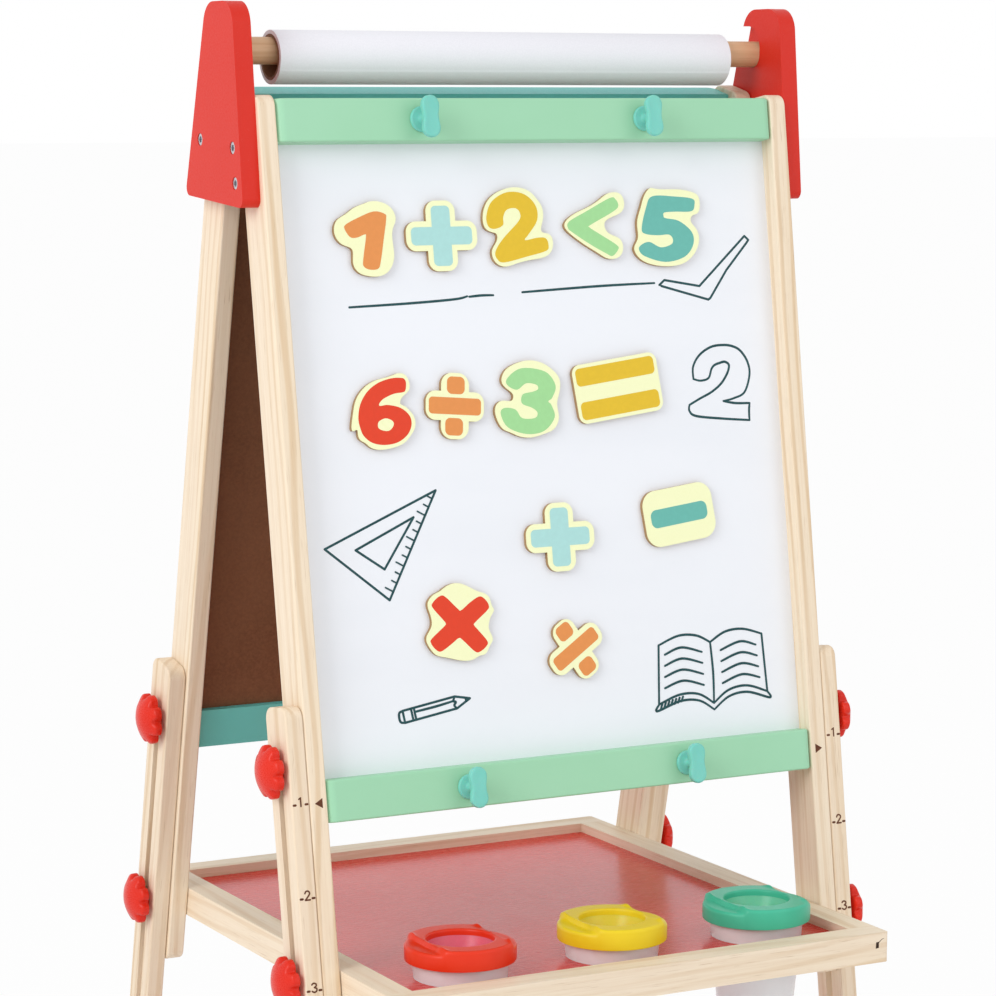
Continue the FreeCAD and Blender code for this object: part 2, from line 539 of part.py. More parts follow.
# Magnetic signs, each with its centre on the board. The bars are width, height, corner radius
# and centre. The loops are points that a smooth outline runs through.
PLUS = [(58.3, 21.6, 8, 0, 0), (24, 51.4, 8, 0, 0)]
SIGN_BARS = {
    "plus": (-77.2, -101.8, 0, PLUS),
    "plus_low": (4.3, -327.3, 0, PLUS),
    "divide": (-76.3, -226.1, -5, [(48, 21.5, 8, 0, 0), (23, 48.6, 9, 0, 0)]),
    "divide_low": (11.0, -411.8, 33, [(50, 19.5, 8, 0, 0), (20, 49, 8, 0, 0)]),
    "equals": (62.6, -218.5, 6.8, [(74.3, 44.5, 7, 0, 0)]),
    "minus": (109.0, -316.7, 6.8, [(62, 43, 12, 0, 0)]),
}
SIGN_LOOPS = {
    "one": (-138.8, -102.9, [
        (2.5, 26.2), (16.4, 25.6), (23.1, 20.5), (24.8, 12.6), (22.6, 7.9), (21.1, -15.9), (15, -24.6),
        (-1.2, -26.4), (-8.6, -23.1), (-11.7, -16.5), (-11.9, -7), (-18.6, -3.8), (-25, 5.8),
        (-22, 14), (-15.9, 17.6), (-7.4, 22.8)]),
    "two": (-13.4, -96.3, [
        (-7.5, 28.3), (8.2, 27.5), (12.8, 25.1), (17.4, 20.3), (21.3, 14.3), (20.9, 2.9), (19.6, -1),
        (19.6, -3.5), (25.7, -5.9), (28.7, -13.7), (25.2, -20.4), (12.1, -24.3), (-3.8, -27.2),
        (-15.5, -28.8), (-22, -24), (-22.9, -16.7), (-18, -8.4), (-18.4, -5), (-21.2, -3.8),
        (-27.1, -0.9), (-28.7, 9), (-22.1, 21.3)]),
    "less": (52.9, -97, [
        (17.7, 25), (25.4, 20.3), (25, 12.4), (16.4, 7.1), (7.7, 1.5), (9.2, -3.9), (21.2, -11.1),
        (21.1, -21), (8.8, -24.4), (1.4, -20.7), (-7.7, -15.4), (-20.1, -7.1), (-26.8, 0.7),
        (-17.6, 9.4), (-5.4, 14.3), (5.4, 20.1)]),
    "five": (115.6, -98.9, [
        (-11.2, 29.6), (8.2, 28.4), (23.3, 26.2), (29, 22.8), (29.7, 20.7), (29.7, 14.8), (27.5, 10.1),
        (22.2, 7.9), (20.9, 4.7), (24.2, -0.3), (27.4, -8.3), (23.8, -18.6), (12.6, -27.4),
        (0.8, -29.5), (-16.6, -27.6), (-27.1, -22.2), (-30.5, -15.2), (-26.9, -8.4), (-26.4, -3.6),
        (-26.5, 3.8), (-22.5, 15.1), (-17.9, 25.2)]),
    "six": (-135, -227.9, [
        (11.2, 26.9), (21.5, 23.9), (22, 15.1), (14.8, 8.4), (14.3, 5.4), (16.9, 3.9), (20.8, 0.8),
        (24.6, -4.3), (24.3, -13.3), (21.7, -17), (17.3, -21.6), (4, -26.5), (-13.7, -24),
        (-16.3, -21.7), (-19.4, -19.9), (-21.7, -14.9), (-22.2, -11.9), (-24.6, -12.6), (-25.1, -2.9),
        (-20.8, 10.6), (-11.8, 19.8), (-3.3, 23.5)]),
    "three": (-15.4, -223.7, [
        (-2.5, 28.2), (15.7, 25.8), (23.6, 20.3), (27.8, 14.9), (26.4, 1), (24.9, -3.8), (25.5, -14.7),
        (20, -23.5), (13.7, -25.8), (2.2, -28.3), (-10, -26.7), (-17, -23.6), (-21.3, -21.7),
        (-26.9, -13.5), (-27.3, -4.3), (-21.6, -0.2), (-12.5, 0.4), (-11.8, 2.9), (-16.1, 7.9),
        (-20.7, 13.7), (-18.1, 21), (-12.6, 25)]),
    "times": (-84.7, -385.5, [
        (-12.9, 26.1), (12.7, 24.5), (17.3, 22.3), (20.7, 21.2), (25.7, 17), (27.5, 10.7), (28.6, 8.5),
        (26.2, 3.8), (23.8, -1.6), (23.3, -4.7), (25.9, -14.3), (23.6, -17.8), (20.9, -22.2),
        (18, -24.4), (14.7, -24.8), (11, -26.4), (-14.3, -23.9), (-22.2, -21.2), (-25.3, -17.8),
        (-28.7, -8.4), (-24.2, -1.2), (-24.3, 8.8), (-25.6, 16.8), (-19.5, 23.1)]),
}
MAGNET_FRONT = BOARD_SET - MAGNET_T - SIGN_GAP


def bar(w, h, r, cx, cz):
    slab = box(cx - w / 2, cx + w / 2, MAGNET_FRONT, MAGNET_FRONT + MAGNET_T, cz - h / 2, cz + h / 2)
    return soften(slab, r, lambda e: along(e, V(0, 1, 0)))


def loop(cx, cz, points):
    curve = Part.BSplineCurve()
    curve.interpolate([V(cx + x, MAGNET_FRONT, cz + z) for x, z in points], PeriodicFlag=True)
    return Part.Face(Part.Wire(curve.toShape())).extrude(V(0, MAGNET_T, 0))


for name, (cx, cz, turn, bars) in SIGN_BARS.items():
    shapes = [bar(*b) for b in bars]
    solid = shapes[0].fuse(shapes[1:]) if len(shapes) > 1 else shapes[0]
    solid.rotate(V(0, 0, 0), V(0, -1, 0), turn)
    solid.translate(V(cx, 0, cz))
    save("magnet_%s" % name, placed(solid, FRONT))
for name, (cx, cz, points) in SIGN_LOOPS.items():
    save("magnet_%s" % name, placed(loop(cx, cz, points), FRONT))
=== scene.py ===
import logging
import math
from dataclasses import dataclass, field
from enum import Enum
from typing import Callable, Dict, List, Optional, Sequence, Tuple, Union

import bmesh
import bpy
from mathutils import Matrix, Vector


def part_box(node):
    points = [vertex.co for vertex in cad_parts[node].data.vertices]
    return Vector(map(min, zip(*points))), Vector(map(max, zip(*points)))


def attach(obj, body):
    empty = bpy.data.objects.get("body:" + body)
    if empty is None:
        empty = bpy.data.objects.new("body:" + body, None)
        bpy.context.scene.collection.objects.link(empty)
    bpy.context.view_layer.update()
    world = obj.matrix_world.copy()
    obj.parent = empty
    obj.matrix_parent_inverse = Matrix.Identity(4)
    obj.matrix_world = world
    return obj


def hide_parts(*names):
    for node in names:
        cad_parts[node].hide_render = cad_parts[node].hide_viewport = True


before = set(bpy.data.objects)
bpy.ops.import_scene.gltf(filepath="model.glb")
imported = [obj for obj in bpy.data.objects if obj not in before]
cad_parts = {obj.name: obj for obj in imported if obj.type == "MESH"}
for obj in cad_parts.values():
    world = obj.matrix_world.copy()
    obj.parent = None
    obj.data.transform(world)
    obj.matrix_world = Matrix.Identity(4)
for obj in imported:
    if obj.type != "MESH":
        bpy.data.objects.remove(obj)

log = logging.getLogger("easel")
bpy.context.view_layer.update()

MM = 0.001
APEX = Vector((0.0, -63.919, 996.0)) * MM
FRONT_LEAN = 8.63
REAR_LEAN = 13.07
BOARD_SET = 14.8
MAGNET_T = 3.6
RAIL_PROUD = 1.0
TRAY_TOP = 375.2
PANEL_TOP = 367.7

Point = Tuple[float, float]
Colour = Tuple[float, float, float]
Face = Sequence[int]


def tone(red: int, green: int, blue: int) -> Colour:
    """Turns display values from 0 to 255 into a linear colour.

    Args:
        red: Red share.
        green: Green share.
        blue: Blue share.

    Returns:
        The linear colour.
    """
    shares = [c / 255.0 for c in (red, green, blue)]
    return tuple(s / 12.92 if s <= 0.04045 else ((s + 0.055) / 1.055) ** 2.4 for s in shares)


class Grain(Enum):
    """The way that a timber's grain runs, as the turn that lays it along local Z."""

    FRONT_UPRIGHT = (FRONT_LEAN, 0.0)
    REAR_UPRIGHT = (-REAR_LEAN, 0.0)
    ACROSS = (0.0, 90.0)
    DEEP = (90.0, 0.0)


class Side(Enum):
    """Left and right of the easel, as the sign of X."""

    LEFT = -1
    RIGHT = 1


# ---------------------------------------------------------------- shader kit
class Val:
    """A shader output that adds Math nodes when it is used in an expression."""

    def __init__(self, kit: "Kit", socket: bpy.types.NodeSocket) -> None:
        self.kit = kit
        self.socket = socket

    def __add__(self, other: "Input") -> "Val":
        """Sum."""
        return self.kit.math("ADD", self, other)

    __radd__ = __add__

    def __sub__(self, other: "Input") -> "Val":
        """Difference."""
        return self.kit.math("SUBTRACT", self, other)

    def __rsub__(self, other: "Input") -> "Val":
        """Difference from a number."""
        return self.kit.math("SUBTRACT", other, self)

    def __mul__(self, other: "Input") -> "Val":
        """Product."""
        return self.kit.math("MULTIPLY", self, other)

    __rmul__ = __mul__

    def __truediv__(self, other: "Input") -> "Val":
        """Quotient."""
        return self.kit.math("DIVIDE", self, other)

    def __pow__(self, other: "Input") -> "Val":
        """Power."""
        return self.kit.math("POWER", self, other)

    def __gt__(self, other: "Input") -> "Val":
        """1 where the value is larger, else 0."""
        return self.kit.math("GREATER_THAN", self, other)


Input = Union[Val, float, int, Sequence[float]]


class Kit:
    """One material's node tree and the few ways in which nodes are added to it."""

    def __init__(self, name: str) -> None:
        """Starts an empty material of that name."""
        self.material = bpy.data.materials.new(name)
        self.material.use_nodes = True
        self.tree = self.material.node_tree
        self.tree.nodes.clear()

    def node(self, kind: str, settings: Optional[Dict[str, object]] = None,
             sockets: Optional[Dict[Union[str, int], Input]] = None) -> bpy.types.Node:
        """Adds a node.

        Args:
            kind: The node's type name.
            settings: Properties, which are set first; "stops" fills a colour ramp.
            sockets: Values or links by socket name, identifier or number.

        Returns:
            The node.
        """
        made = self.tree.nodes.new(kind)
        for key, value in (settings or {}).items():
            if key == "stops":
                self._fill_ramp(made, value)
            else:
                setattr(made, key, value)
        for key, value in (sockets or {}).items():
            socket = self._input(made, key)
            if isinstance(value, Val):
                self.tree.links.new(value.socket, socket)
            elif isinstance(value, (tuple, list)) and socket.type == "RGBA":
                socket.default_value = tuple(value) + (1.0,) * (4 - len(value))
            else:
                socket.default_value = value
        return made

    def _input(self, made: bpy.types.Node, key: Union[str, int]) -> bpy.types.NodeSocket:
        """Finds a node's input by number, identifier or name."""
        if isinstance(key, int):
            return made.inputs[key]
        for socket in made.inputs:
            if socket.identifier == key:
                return socket
        return made.inputs[key]

    def _fill_ramp(self, made: bpy.types.Node, stops: Sequence[Tuple[float, Colour]]) -> None:
        """Gives a colour ramp its stops."""
        elements = made.color_ramp.elements
        while len(elements) > 1:
            elements.remove(elements[-1])
        elements[0].position = stops[0][0]
        elements[0].color = tuple(stops[0][1]) + (1.0,)
        for place, colour in stops[1:]:
            elements.new(place).color = tuple(colour) + (1.0,)

    def out(self, made: bpy.types.Node, key: Union[str, int] = 0) -> Val:
        """Wraps one output of a node."""
        return Val(self, made.outputs[key])

    def math(self, operation: str, *values: Input, clamp: bool = False) -> Val:
        """Adds one Math node for values."""
        return self.out(self.node("ShaderNodeMath", {"operation": operation, "use_clamp": clamp},
                                  dict(enumerate(values))))

    def vector(self, operation: str, *values: Input, output: int = 0) -> Val:
        """Adds one Vector Math node."""
        return self.out(self.node("ShaderNodeVectorMath", {"operation": operation},
                                  dict(enumerate(values))), output)

    def mix(self, factor: Input, first: Input, second: Input) -> Val:
        """Mixes two colours."""
        made = self.node("ShaderNodeMix", {"data_type": "RGBA", "clamp_factor": True},
                         {"Factor_Float": factor, "A_Color": first, "B_Color": second})
        return self.out(made, 2)

    def noise(self, place: Input, scale: float, detail: float = 3.0, rough: float = 0.5) -> Val:
        """Adds fractal noise with values around a half."""
        made = self.node("ShaderNodeTexNoise", None, {"Vector": place, "Scale": scale,
                                                      "Detail": detail, "Roughness": rough})
        return self.out(made, 0)

    def span(self, value: Val, low: float, high: float, to_low: float = 0.0, to_high: float = 1.0) -> Val:
        """Maps a range of values onto another, held at its ends."""
        made = self.node("ShaderNodeMapRange", {"clamp": True, "interpolation_type": "SMOOTHSTEP"},
                         {0: value, 1: low, 2: high, 3: to_low, 4: to_high})
        return self.out(made)

    def place(self, turn: Sequence[float] = (0.0, 0.0, 0.0), shift: Sequence[float] = (0.0, 0.0, 0.0)) -> Val:
        """The object's own coordinates, turned and shifted."""
        raw = self.out(self.node("ShaderNodeTexCoord"), 3)
        return self.out(self.node("ShaderNodeMapping", {"vector_type": "POINT"},
                                  {"Vector": raw, "Location": tuple(shift), "Rotation": tuple(turn)}))

    def facing(self) -> Val:
        """The object's own surface normal."""
        return self.out(self.node("ShaderNodeTexCoord"), 1)

    def bump(self, height: Val, depth: float, strength: float = 0.6) -> Val:
        """Turns a height into a normal."""
        return self.out(self.node("ShaderNodeBump", None, {"Height": height, "Distance": depth,
                                                           "Strength": strength}))

    def finish(self, sockets: Dict[Union[str, int], Input]) -> bpy.types.Material:
        """Ends the tree with a Principled surface."""
        shader = self.node("ShaderNodeBsdfPrincipled", None, sockets)
        self.node("ShaderNodeOutputMaterial", None, {"Surface": self.out(shader)})
        return self.material


# ---------------------------------------------------------------- finishes
@dataclass(frozen=True)
class Pine:
    """Clear-coated pine with growth rings and fine pores along its length.

    Attributes:
        name: Material name.
        grain: The way that the grain runs.
        seed: Moves the pattern, so that no two timbers match.
        pale: Early wood.
        dark: Late wood.
    """

    name: str
    grain: Grain
    seed: float
    pale: Colour = tone(243, 226, 203)
    dark: Colour = tone(218, 188, 152)

    def make(self) -> bpy.types.Material:
        """Builds the material."""
        kit = Kit(self.name)
        lean, across = self.grain.value
        turn = (math.radians(lean), math.radians(across), 0.0)
        shift = (0.031 + 0.017 * math.sin(self.seed * 3.1), 0.052 + 0.02 * math.cos(self.seed * 1.7),
                 self.seed * 0.37)
        place = kit.place(turn, shift)
        warp = kit.noise(kit.vector("MULTIPLY", place, (14.0, 14.0, 2.2)), 1.0, 2.0)
        cross = kit.vector("LENGTH", kit.vector("MULTIPLY", place, (1.0, 1.0, 0.045)), output=1)
        ring = kit.math("SINE", cross * 820.0 + warp * 22.0) * 0.5 + 0.5
        late = kit.span(ring, 0.5, 1.0)
        streak = kit.noise(kit.vector("MULTIPLY", place, (520.0, 520.0, 9.0)), 1.0, 4.0, 0.62)
        patch = kit.noise(kit.vector("MULTIPLY", place, (30.0, 30.0, 3.0)), 1.0, 2.0)
        pores = kit.span(kit.noise(kit.vector("MULTIPLY", place, (1500.0, 1500.0, 40.0)), 1.0, 2.0),
                         0.62, 0.74)
        amount = late * kit.span(patch, 0.3, 0.7, 0.1, 0.75) + kit.span(streak, 0.35, 0.75) * 0.28
        base = kit.mix(amount, self.pale, self.dark)
        base = kit.mix(kit.span(patch, 0.3, 0.75) * 0.22, base, tone(246, 226, 190))
        base = kit.mix(pores * 0.35, base, tone(176, 136, 92))
        height = streak * 0.5 + late * 0.35 - pores * 0.6
        return kit.finish({"Base Color": base, "Roughness": kit.span(streak, 0.2, 0.8, 0.42, 0.56),
                           "Normal": kit.bump(height, 0.0003, 0.4), "Specular IOR Level": 0.35})


@dataclass(frozen=True)
class Paint:
    """Sprayed satin paint on wood, with a faint orange peel and pale specks.

    Attributes:
        name: Material name.
        colour: The coat.
        rough: Mean roughness.
        peel: Depth of the orange peel, in metres.
        lift: A paler tone for soft blotches.
    """

    name: str
    colour: Colour
    lift: Colour
    rough: float = 0.42
    peel: float = 0.00008

    def make(self) -> bpy.types.Material:
        """Builds the material."""
        kit = Kit(self.name)
        place = kit.place()
        cloud = kit.noise(place, 9.0, 3.0)
        peel = kit.noise(place, 620.0, 2.0)
        speck = kit.span(kit.noise(place, 1900.0, 1.0), 0.7, 0.8)
        base = kit.mix(kit.span(cloud, 0.3, 0.7) * 0.6, self.colour, self.lift)
        base = kit.mix(speck * 0.08, base, (0.9, 0.9, 0.9))
        return kit.finish({"Base Color": base,
                           "Roughness": kit.span(peel, 0.3, 0.7, self.rough - 0.05, self.rough + 0.07),
                           "Normal": kit.bump(peel + speck * 0.3, self.peel, 0.5),
                           "Specular IOR Level": 0.28})


@dataclass(frozen=True)
class Plastic:
    """Moulded plastic with a fine satin skin.

    Attributes:
        name: Material name.
        colour: Body colour.
        deep: The colour where the moulding is thicker.
        rough: Mean roughness.
        glow: Share of light that scatters inside the plastic.
        clear: Share of light that passes through it.
        solid: Opacity of a thin wall.
    """

    name: str
    colour: Colour
    deep: Colour
    rough: float = 0.33
    glow: float = 0.0
    clear: float = 0.0
    solid: float = 1.0

    def make(self) -> bpy.types.Material:
        """Builds the material."""
        kit = Kit(self.name)
        place = kit.place()
        skin = kit.noise(place, 1400.0, 2.0)
        flow = kit.noise(place, 45.0, 2.0)
        base = kit.mix(kit.span(flow, 0.3, 0.75) * 0.5, self.colour, self.deep)
        return kit.finish({"Base Color": base,
                           "Roughness": kit.span(skin, 0.3, 0.7, self.rough - 0.04, self.rough + 0.06),
                           "Normal": kit.bump(skin, 0.00004, 0.4),
                           "Specular IOR Level": 0.35,
                           "Subsurface Weight": self.glow, "Subsurface Scale": 0.004,
                           "Transmission Weight": self.clear, "IOR": 1.42, "Alpha": self.solid})


@dataclass(frozen=True)
class TrayGloss:
    """Red lacquered panel with faint brushed streaks across it."""

    name: str
    colour: Colour
    lift: Colour

    def make(self) -> bpy.types.Material:
        """Builds the material."""
        kit = Kit(self.name)
        place = kit.place()
        cloud = kit.noise(place, 7.0, 3.0)
        hair = kit.noise(kit.vector("MULTIPLY", place, (60.0, 900.0, 60.0)), 1.0, 2.0)
        fleck = kit.span(kit.noise(place, 2600.0, 1.0), 0.72, 0.8)
        base = kit.mix(kit.span(cloud, 0.3, 0.7) * 0.5, self.colour, self.lift)
        base = kit.mix(fleck * 0.12, base, self.lift)
        return kit.finish({"Base Color": base, "Roughness": kit.span(hair, 0.3, 0.7, 0.2, 0.3),
                           "Normal": kit.bump(hair, 0.00003, 0.35), "Specular IOR Level": 0.36,
                           "Coat Weight": kit.span(cloud, 0.2, 0.8, 0.1, 0.2), "Coat Roughness": 0.16})


@dataclass(frozen=True)
class Enamel:
    """Smooth white enamel of the magnetic board with faint wiped haze."""

    name: str
    colour: Colour

    def make(self) -> bpy.types.Material:
        """Builds the material."""
        kit = Kit(self.name)
        place = kit.place()
        haze = kit.noise(kit.vector("MULTIPLY", place, (4.0, 9.0, 16.0)), 1.0, 4.0)
        wave = kit.noise(place, 26.0, 2.0)
        base = kit.mix(kit.span(haze, 0.35, 0.75) * 0.35, self.colour, tone(232, 236, 243))
        return kit.finish({"Base Color": base, "Roughness": kit.span(haze, 0.3, 0.7, 0.3, 0.4),
                           "Normal": kit.bump(wave, 0.00006, 0.3), "Specular IOR Level": 0.35})


@dataclass(frozen=True)
class Hardboard:
    """Pressed brown hardboard on the inner face and black chalk paint on the outer one."""

    name: str
    brown: Colour = tone(134, 90, 62)
    fibre: Colour = tone(116, 74, 48)
    slate: Colour = tone(38, 41, 42)

    def make(self) -> bpy.types.Material:
        """Builds the material."""
        kit = Kit(self.name)
        place = kit.place()
        outer = kit.vector("DOT_PRODUCT", kit.facing(), (0.0, 1.0, 0.0), output=1) > 0.3
        fibres = kit.noise(kit.vector("MULTIPLY", place, (420.0, 420.0, 420.0)), 1.0, 5.0, 0.7)
        cloud = kit.noise(place, 13.0, 4.0)
        dust = kit.span(kit.noise(kit.vector("MULTIPLY", place, (6.0, 9.0, 22.0)), 1.0, 5.0, 0.6), 0.45, 0.8)
        brown = kit.mix(kit.span(fibres, 0.3, 0.7), self.fibre, self.brown)
        brown = kit.mix(kit.span(cloud, 0.3, 0.7) * 0.35, brown, tone(146, 100, 70))
        slate = kit.mix(dust * 0.22, self.slate, tone(150, 152, 150))
        return kit.finish({"Base Color": kit.mix(outer, brown, slate),
                           "Roughness": kit.span(fibres, 0.3, 0.7, 0.68, 0.86),
                           "Normal": kit.bump(fibres, 0.0002, 0.5), "Specular IOR Level": 0.3})


@dataclass(frozen=True)
class Steel:
    """Bright zinc-plated steel with turning marks."""

    name: str

    def make(self) -> bpy.types.Material:
        """Builds the material."""
        kit = Kit(self.name)
        place = kit.place()
        marks = kit.noise(kit.vector("MULTIPLY", place, (300.0, 2500.0, 2500.0)), 1.0, 2.0)
        base = kit.mix(marks, tone(176, 178, 184), tone(222, 223, 226))
        return kit.finish({"Base Color": base, "Metallic": 1.0,
                           "Roughness": kit.span(marks, 0.3, 0.7, 0.18, 0.34),
                           "Normal": kit.bump(marks, 0.00003, 0.4)})


@dataclass(frozen=True)
class Paper:
    """Matt paper or card wound on a roll, with the edges of its layers at the ends.

    Attributes:
        name: Material name.
        colour: Face colour.
        edge: Colour between the layers.
        layer: Layers per metre of radius.
        axis: Centre line of the roll in depth and height, in metres.
    """

    name: str
    colour: Colour
    edge: Colour
    layer: float
    axis: Point

    def make(self) -> bpy.types.Material:
        """Builds the material."""
        kit = Kit(self.name)
        place = kit.place(shift=(0.0, -self.axis[0], -self.axis[1]))
        radius = kit.vector("LENGTH", kit.vector("MULTIPLY", place, (0.0, 1.0, 1.0)), output=1)
        end = kit.math("ABSOLUTE", kit.vector("DOT_PRODUCT", kit.facing(), (1.0, 0.0, 0.0), output=1)) > 0.7
        layers = kit.math("SINE", radius * (self.layer * 2 * math.pi)) * 0.5 + 0.5
        tooth = kit.noise(place, 900.0, 4.0)
        base = kit.mix(end * layers * 0.75, self.colour, self.edge)
        base = kit.mix(kit.span(tooth, 0.3, 0.7) * 0.1, base, self.edge)
        return kit.finish({"Base Color": base, "Roughness": kit.span(tooth, 0.3, 0.7, 0.62, 0.74),
                           "Normal": kit.bump(tooth + end * layers, 0.0001, 0.4),
                           "Specular IOR Level": 0.3})


@dataclass(frozen=True)
class SignBase:
    """Cream printed face of a magnet; its side faces are darker brown, partly the wooden cut edge and partly
    painted shade.
    """

    name: str

    def make(self) -> bpy.types.Material:
        """Builds the material."""
        kit = Kit(self.name)
        place = kit.place()
        out = (0.0, -math.cos(math.radians(FRONT_LEAN)), math.sin(math.radians(FRONT_LEAN)))
        face = kit.vector("DOT_PRODUCT", kit.facing(), out, output=1) > 0.6
        tooth = kit.noise(place, 1200.0, 3.0)
        cream = kit.mix(kit.span(tooth, 0.3, 0.7) * 0.3, tone(250, 253, 205), tone(243, 247, 190))
        # Side faces: darker brown, partly the wooden cut edge and partly painted shade along the magnet's edge.
        rim = kit.mix(tooth, tone(150, 116, 76), tone(184, 150, 104))
        return kit.finish({"Base Color": kit.mix(face, rim, cream),
                           "Roughness": kit.span(tooth, 0.3, 0.7, 0.4, 0.5),
                           "Normal": kit.bump(tooth, 0.00003, 0.4), "Specular IOR Level": 0.3})


@dataclass(frozen=True)
class Print:
    """Ink or marker laid on a surface, slightly uneven in density."""

    name: str
    colour: Colour
    thin: Colour
    rough: float = 0.45

    def make(self) -> bpy.types.Material:
        """Builds the material."""
        kit = Kit(self.name)
        place = kit.place()
        density = kit.noise(place, 260.0, 4.0)
        grain = kit.noise(place, 1600.0, 2.0)
        base = kit.mix(kit.span(density, 0.35, 0.75) * 0.6, self.colour, self.thin)
        return kit.finish({"Base Color": base,
                           "Roughness": kit.span(grain, 0.3, 0.7, self.rough - 0.05, self.rough + 0.05),
                           "Normal": kit.bump(grain, 0.00002, 0.3), "Specular IOR Level": 0.3})


Finish = Union[Pine, Paint, Plastic, TrayGloss, Enamel, Hardboard, Steel, Paper, SignBase, Print]


class Wardrobe:
    """Makes each finish once and lays it on pieces."""

    def __init__(self) -> None:
        """Starts with no finish made."""
        self.made: Dict[str, bpy.types.Material] = {}

    def lay(self, obj: bpy.types.Object, finish: Finish) -> bpy.types.Object:
        """Gives a piece its finish.

        Args:
            obj: The piece.
            finish: What it is made of.

        Returns:
            The piece.
        """
        if finish.name not in self.made:
            self.made[finish.name] = finish.make()
        obj.data.materials.clear()
        obj.data.materials.append(self.made[finish.name])
        return obj

    def lay_node(self, node: str, finish: Finish) -> None:
        """Gives a carried-over node its finish."""
        self.lay(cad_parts[node], finish)
        log.info("%s: %s", node, finish.name)


# ---------------------------------------------------------------- mesh kit
def front_frame(x: float, t: float, z: float) -> Vector:
    """Row-frame point of a point in the leaning front panel.

    Args:
        x: Across, in millimetres.
        t: Depth behind the face of the uprights.
        z: Height from the top of the uprights, down is negative.

    Returns:
        The point in metres.
    """
    a = math.radians(-FRONT_LEAN)
    y, h = t * MM, z * MM
    return APEX + Vector((x * MM, y * math.cos(a) - h * math.sin(a), y * math.sin(a) + h * math.cos(a)))


@dataclass
class Piece:
    """One mesh under construction.

    Attributes:
        name: Piece name.
        body: CAD body that it rides on.
        slot: Material slot of the record; not used.
        finish: What it is made of.
        points: Corners, in metres.
        faces: Corner numbers of each face.
    """

    name: str
    body: str
    slot: str
    finish: Finish
    points: List[Vector] = field(default_factory=list)
    faces: List[Face] = field(default_factory=list)

    def add(self, points: Sequence[Vector], faces: Sequence[Face]) -> None:
        """Adds corners and faces, numbered from the first new corner."""
        start = len(self.points)
        self.points.extend(points)
        self.faces.extend([tuple(i + start for i in f) for f in faces])

    def loft(self, rings: Sequence[Sequence[Vector]], close_first: bool, close_last: bool) -> None:
        """Joins closed rings of equal length with quads.

        Args:
            rings: The rings in order.
            close_first: Whether the first ring is capped.
            close_last: Whether the last ring is capped.
        """
        count = len(rings[0])
        faces: List[Face] = []
        for k in range(len(rings) - 1):
            for i in range(count):
                j = (i + 1) % count
                faces.append((k * count + i, k * count + j, (k + 1) * count + j, (k + 1) * count + i))
        if close_first:
            faces.append(tuple(reversed(range(count))))
        if close_last:
            faces.append(tuple(range((len(rings) - 1) * count, len(rings) * count)))
        self.add([p for ring in rings for p in ring], faces)

    def build(self, wardrobe: Wardrobe, smooth: float = 40.0,
              replaces: Sequence[str] = ()) -> bpy.types.Object:
        """Makes the object, dresses it and puts it on its body.

        Args:
            wardrobe: Gives the material.
            smooth: Edges sharper than this many degrees stay crisp.
            replaces: CAD nodes that this piece stands for.

        Returns:
            The object.
        """
        mesh = bpy.data.meshes.new(self.name)
        mesh.from_pydata([tuple(p) for p in self.points], [], [tuple(f) for f in self.faces])
        work = bmesh.new()
        work.from_mesh(mesh)
        bmesh.ops.recalc_face_normals(work, faces=work.faces)
        limit = math.radians(smooth)
        for face in work.faces:
            face.smooth = True
        for edge in work.edges:
            if len(edge.link_faces) == 2 and edge.calc_face_angle(0.0) > limit:
                edge.smooth = False
        work.to_mesh(mesh)
        work.free()
        obj = bpy.data.objects.new(self.name, mesh)
        bpy.context.scene.collection.objects.link(obj)
        wardrobe.lay(obj, self.finish)
        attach(obj, self.body)
        if replaces:
            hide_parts(*replaces)
        log.info("%s: %d faces", self.name, len(mesh.polygons))
        return obj


def curve_through(points: Sequence[Point], steps: int = 8, closed: bool = False) -> List[Point]:
    """Smooth line through points.

    Args:
        points: Control points.
        steps: Parts of each span.
        closed: Whether the line ends where it starts.

    Returns:
        The points of the line.
    """
    count = len(points)
    spans = count if closed else count - 1
    line: List[Point] = []
    for k in range(spans):
        p = [points[(k + d) % count] if closed else points[min(max(k + d, 0), count - 1)] for d in (-1, 0, 1, 2)]
        for i in range(steps):
            u = i / steps
            w = (-u / 2 + u * u - u ** 3 / 2, 1 - 2.5 * u * u + 1.5 * u ** 3,
                 u / 2 + 2 * u * u - 1.5 * u ** 3, -u * u / 2 + u ** 3 / 2)
            line.append((sum(a * b[0] for a, b in zip(w, p)), sum(a * b[1] for a, b in zip(w, p))))
    line.append(points[0] if closed else points[-1])
    return line


def arc(cx: float, cz: float, radius: float, start: float, end: float, steps: int = 28) -> List[Point]:
    """Points of a circular arc, angles in degrees."""
    return [(cx + radius * math.cos(math.radians(start + (end - start) * k / steps)),
             cz + radius * math.sin(math.radians(start + (end - start) * k / steps)))
            for k in range(steps + 1)]


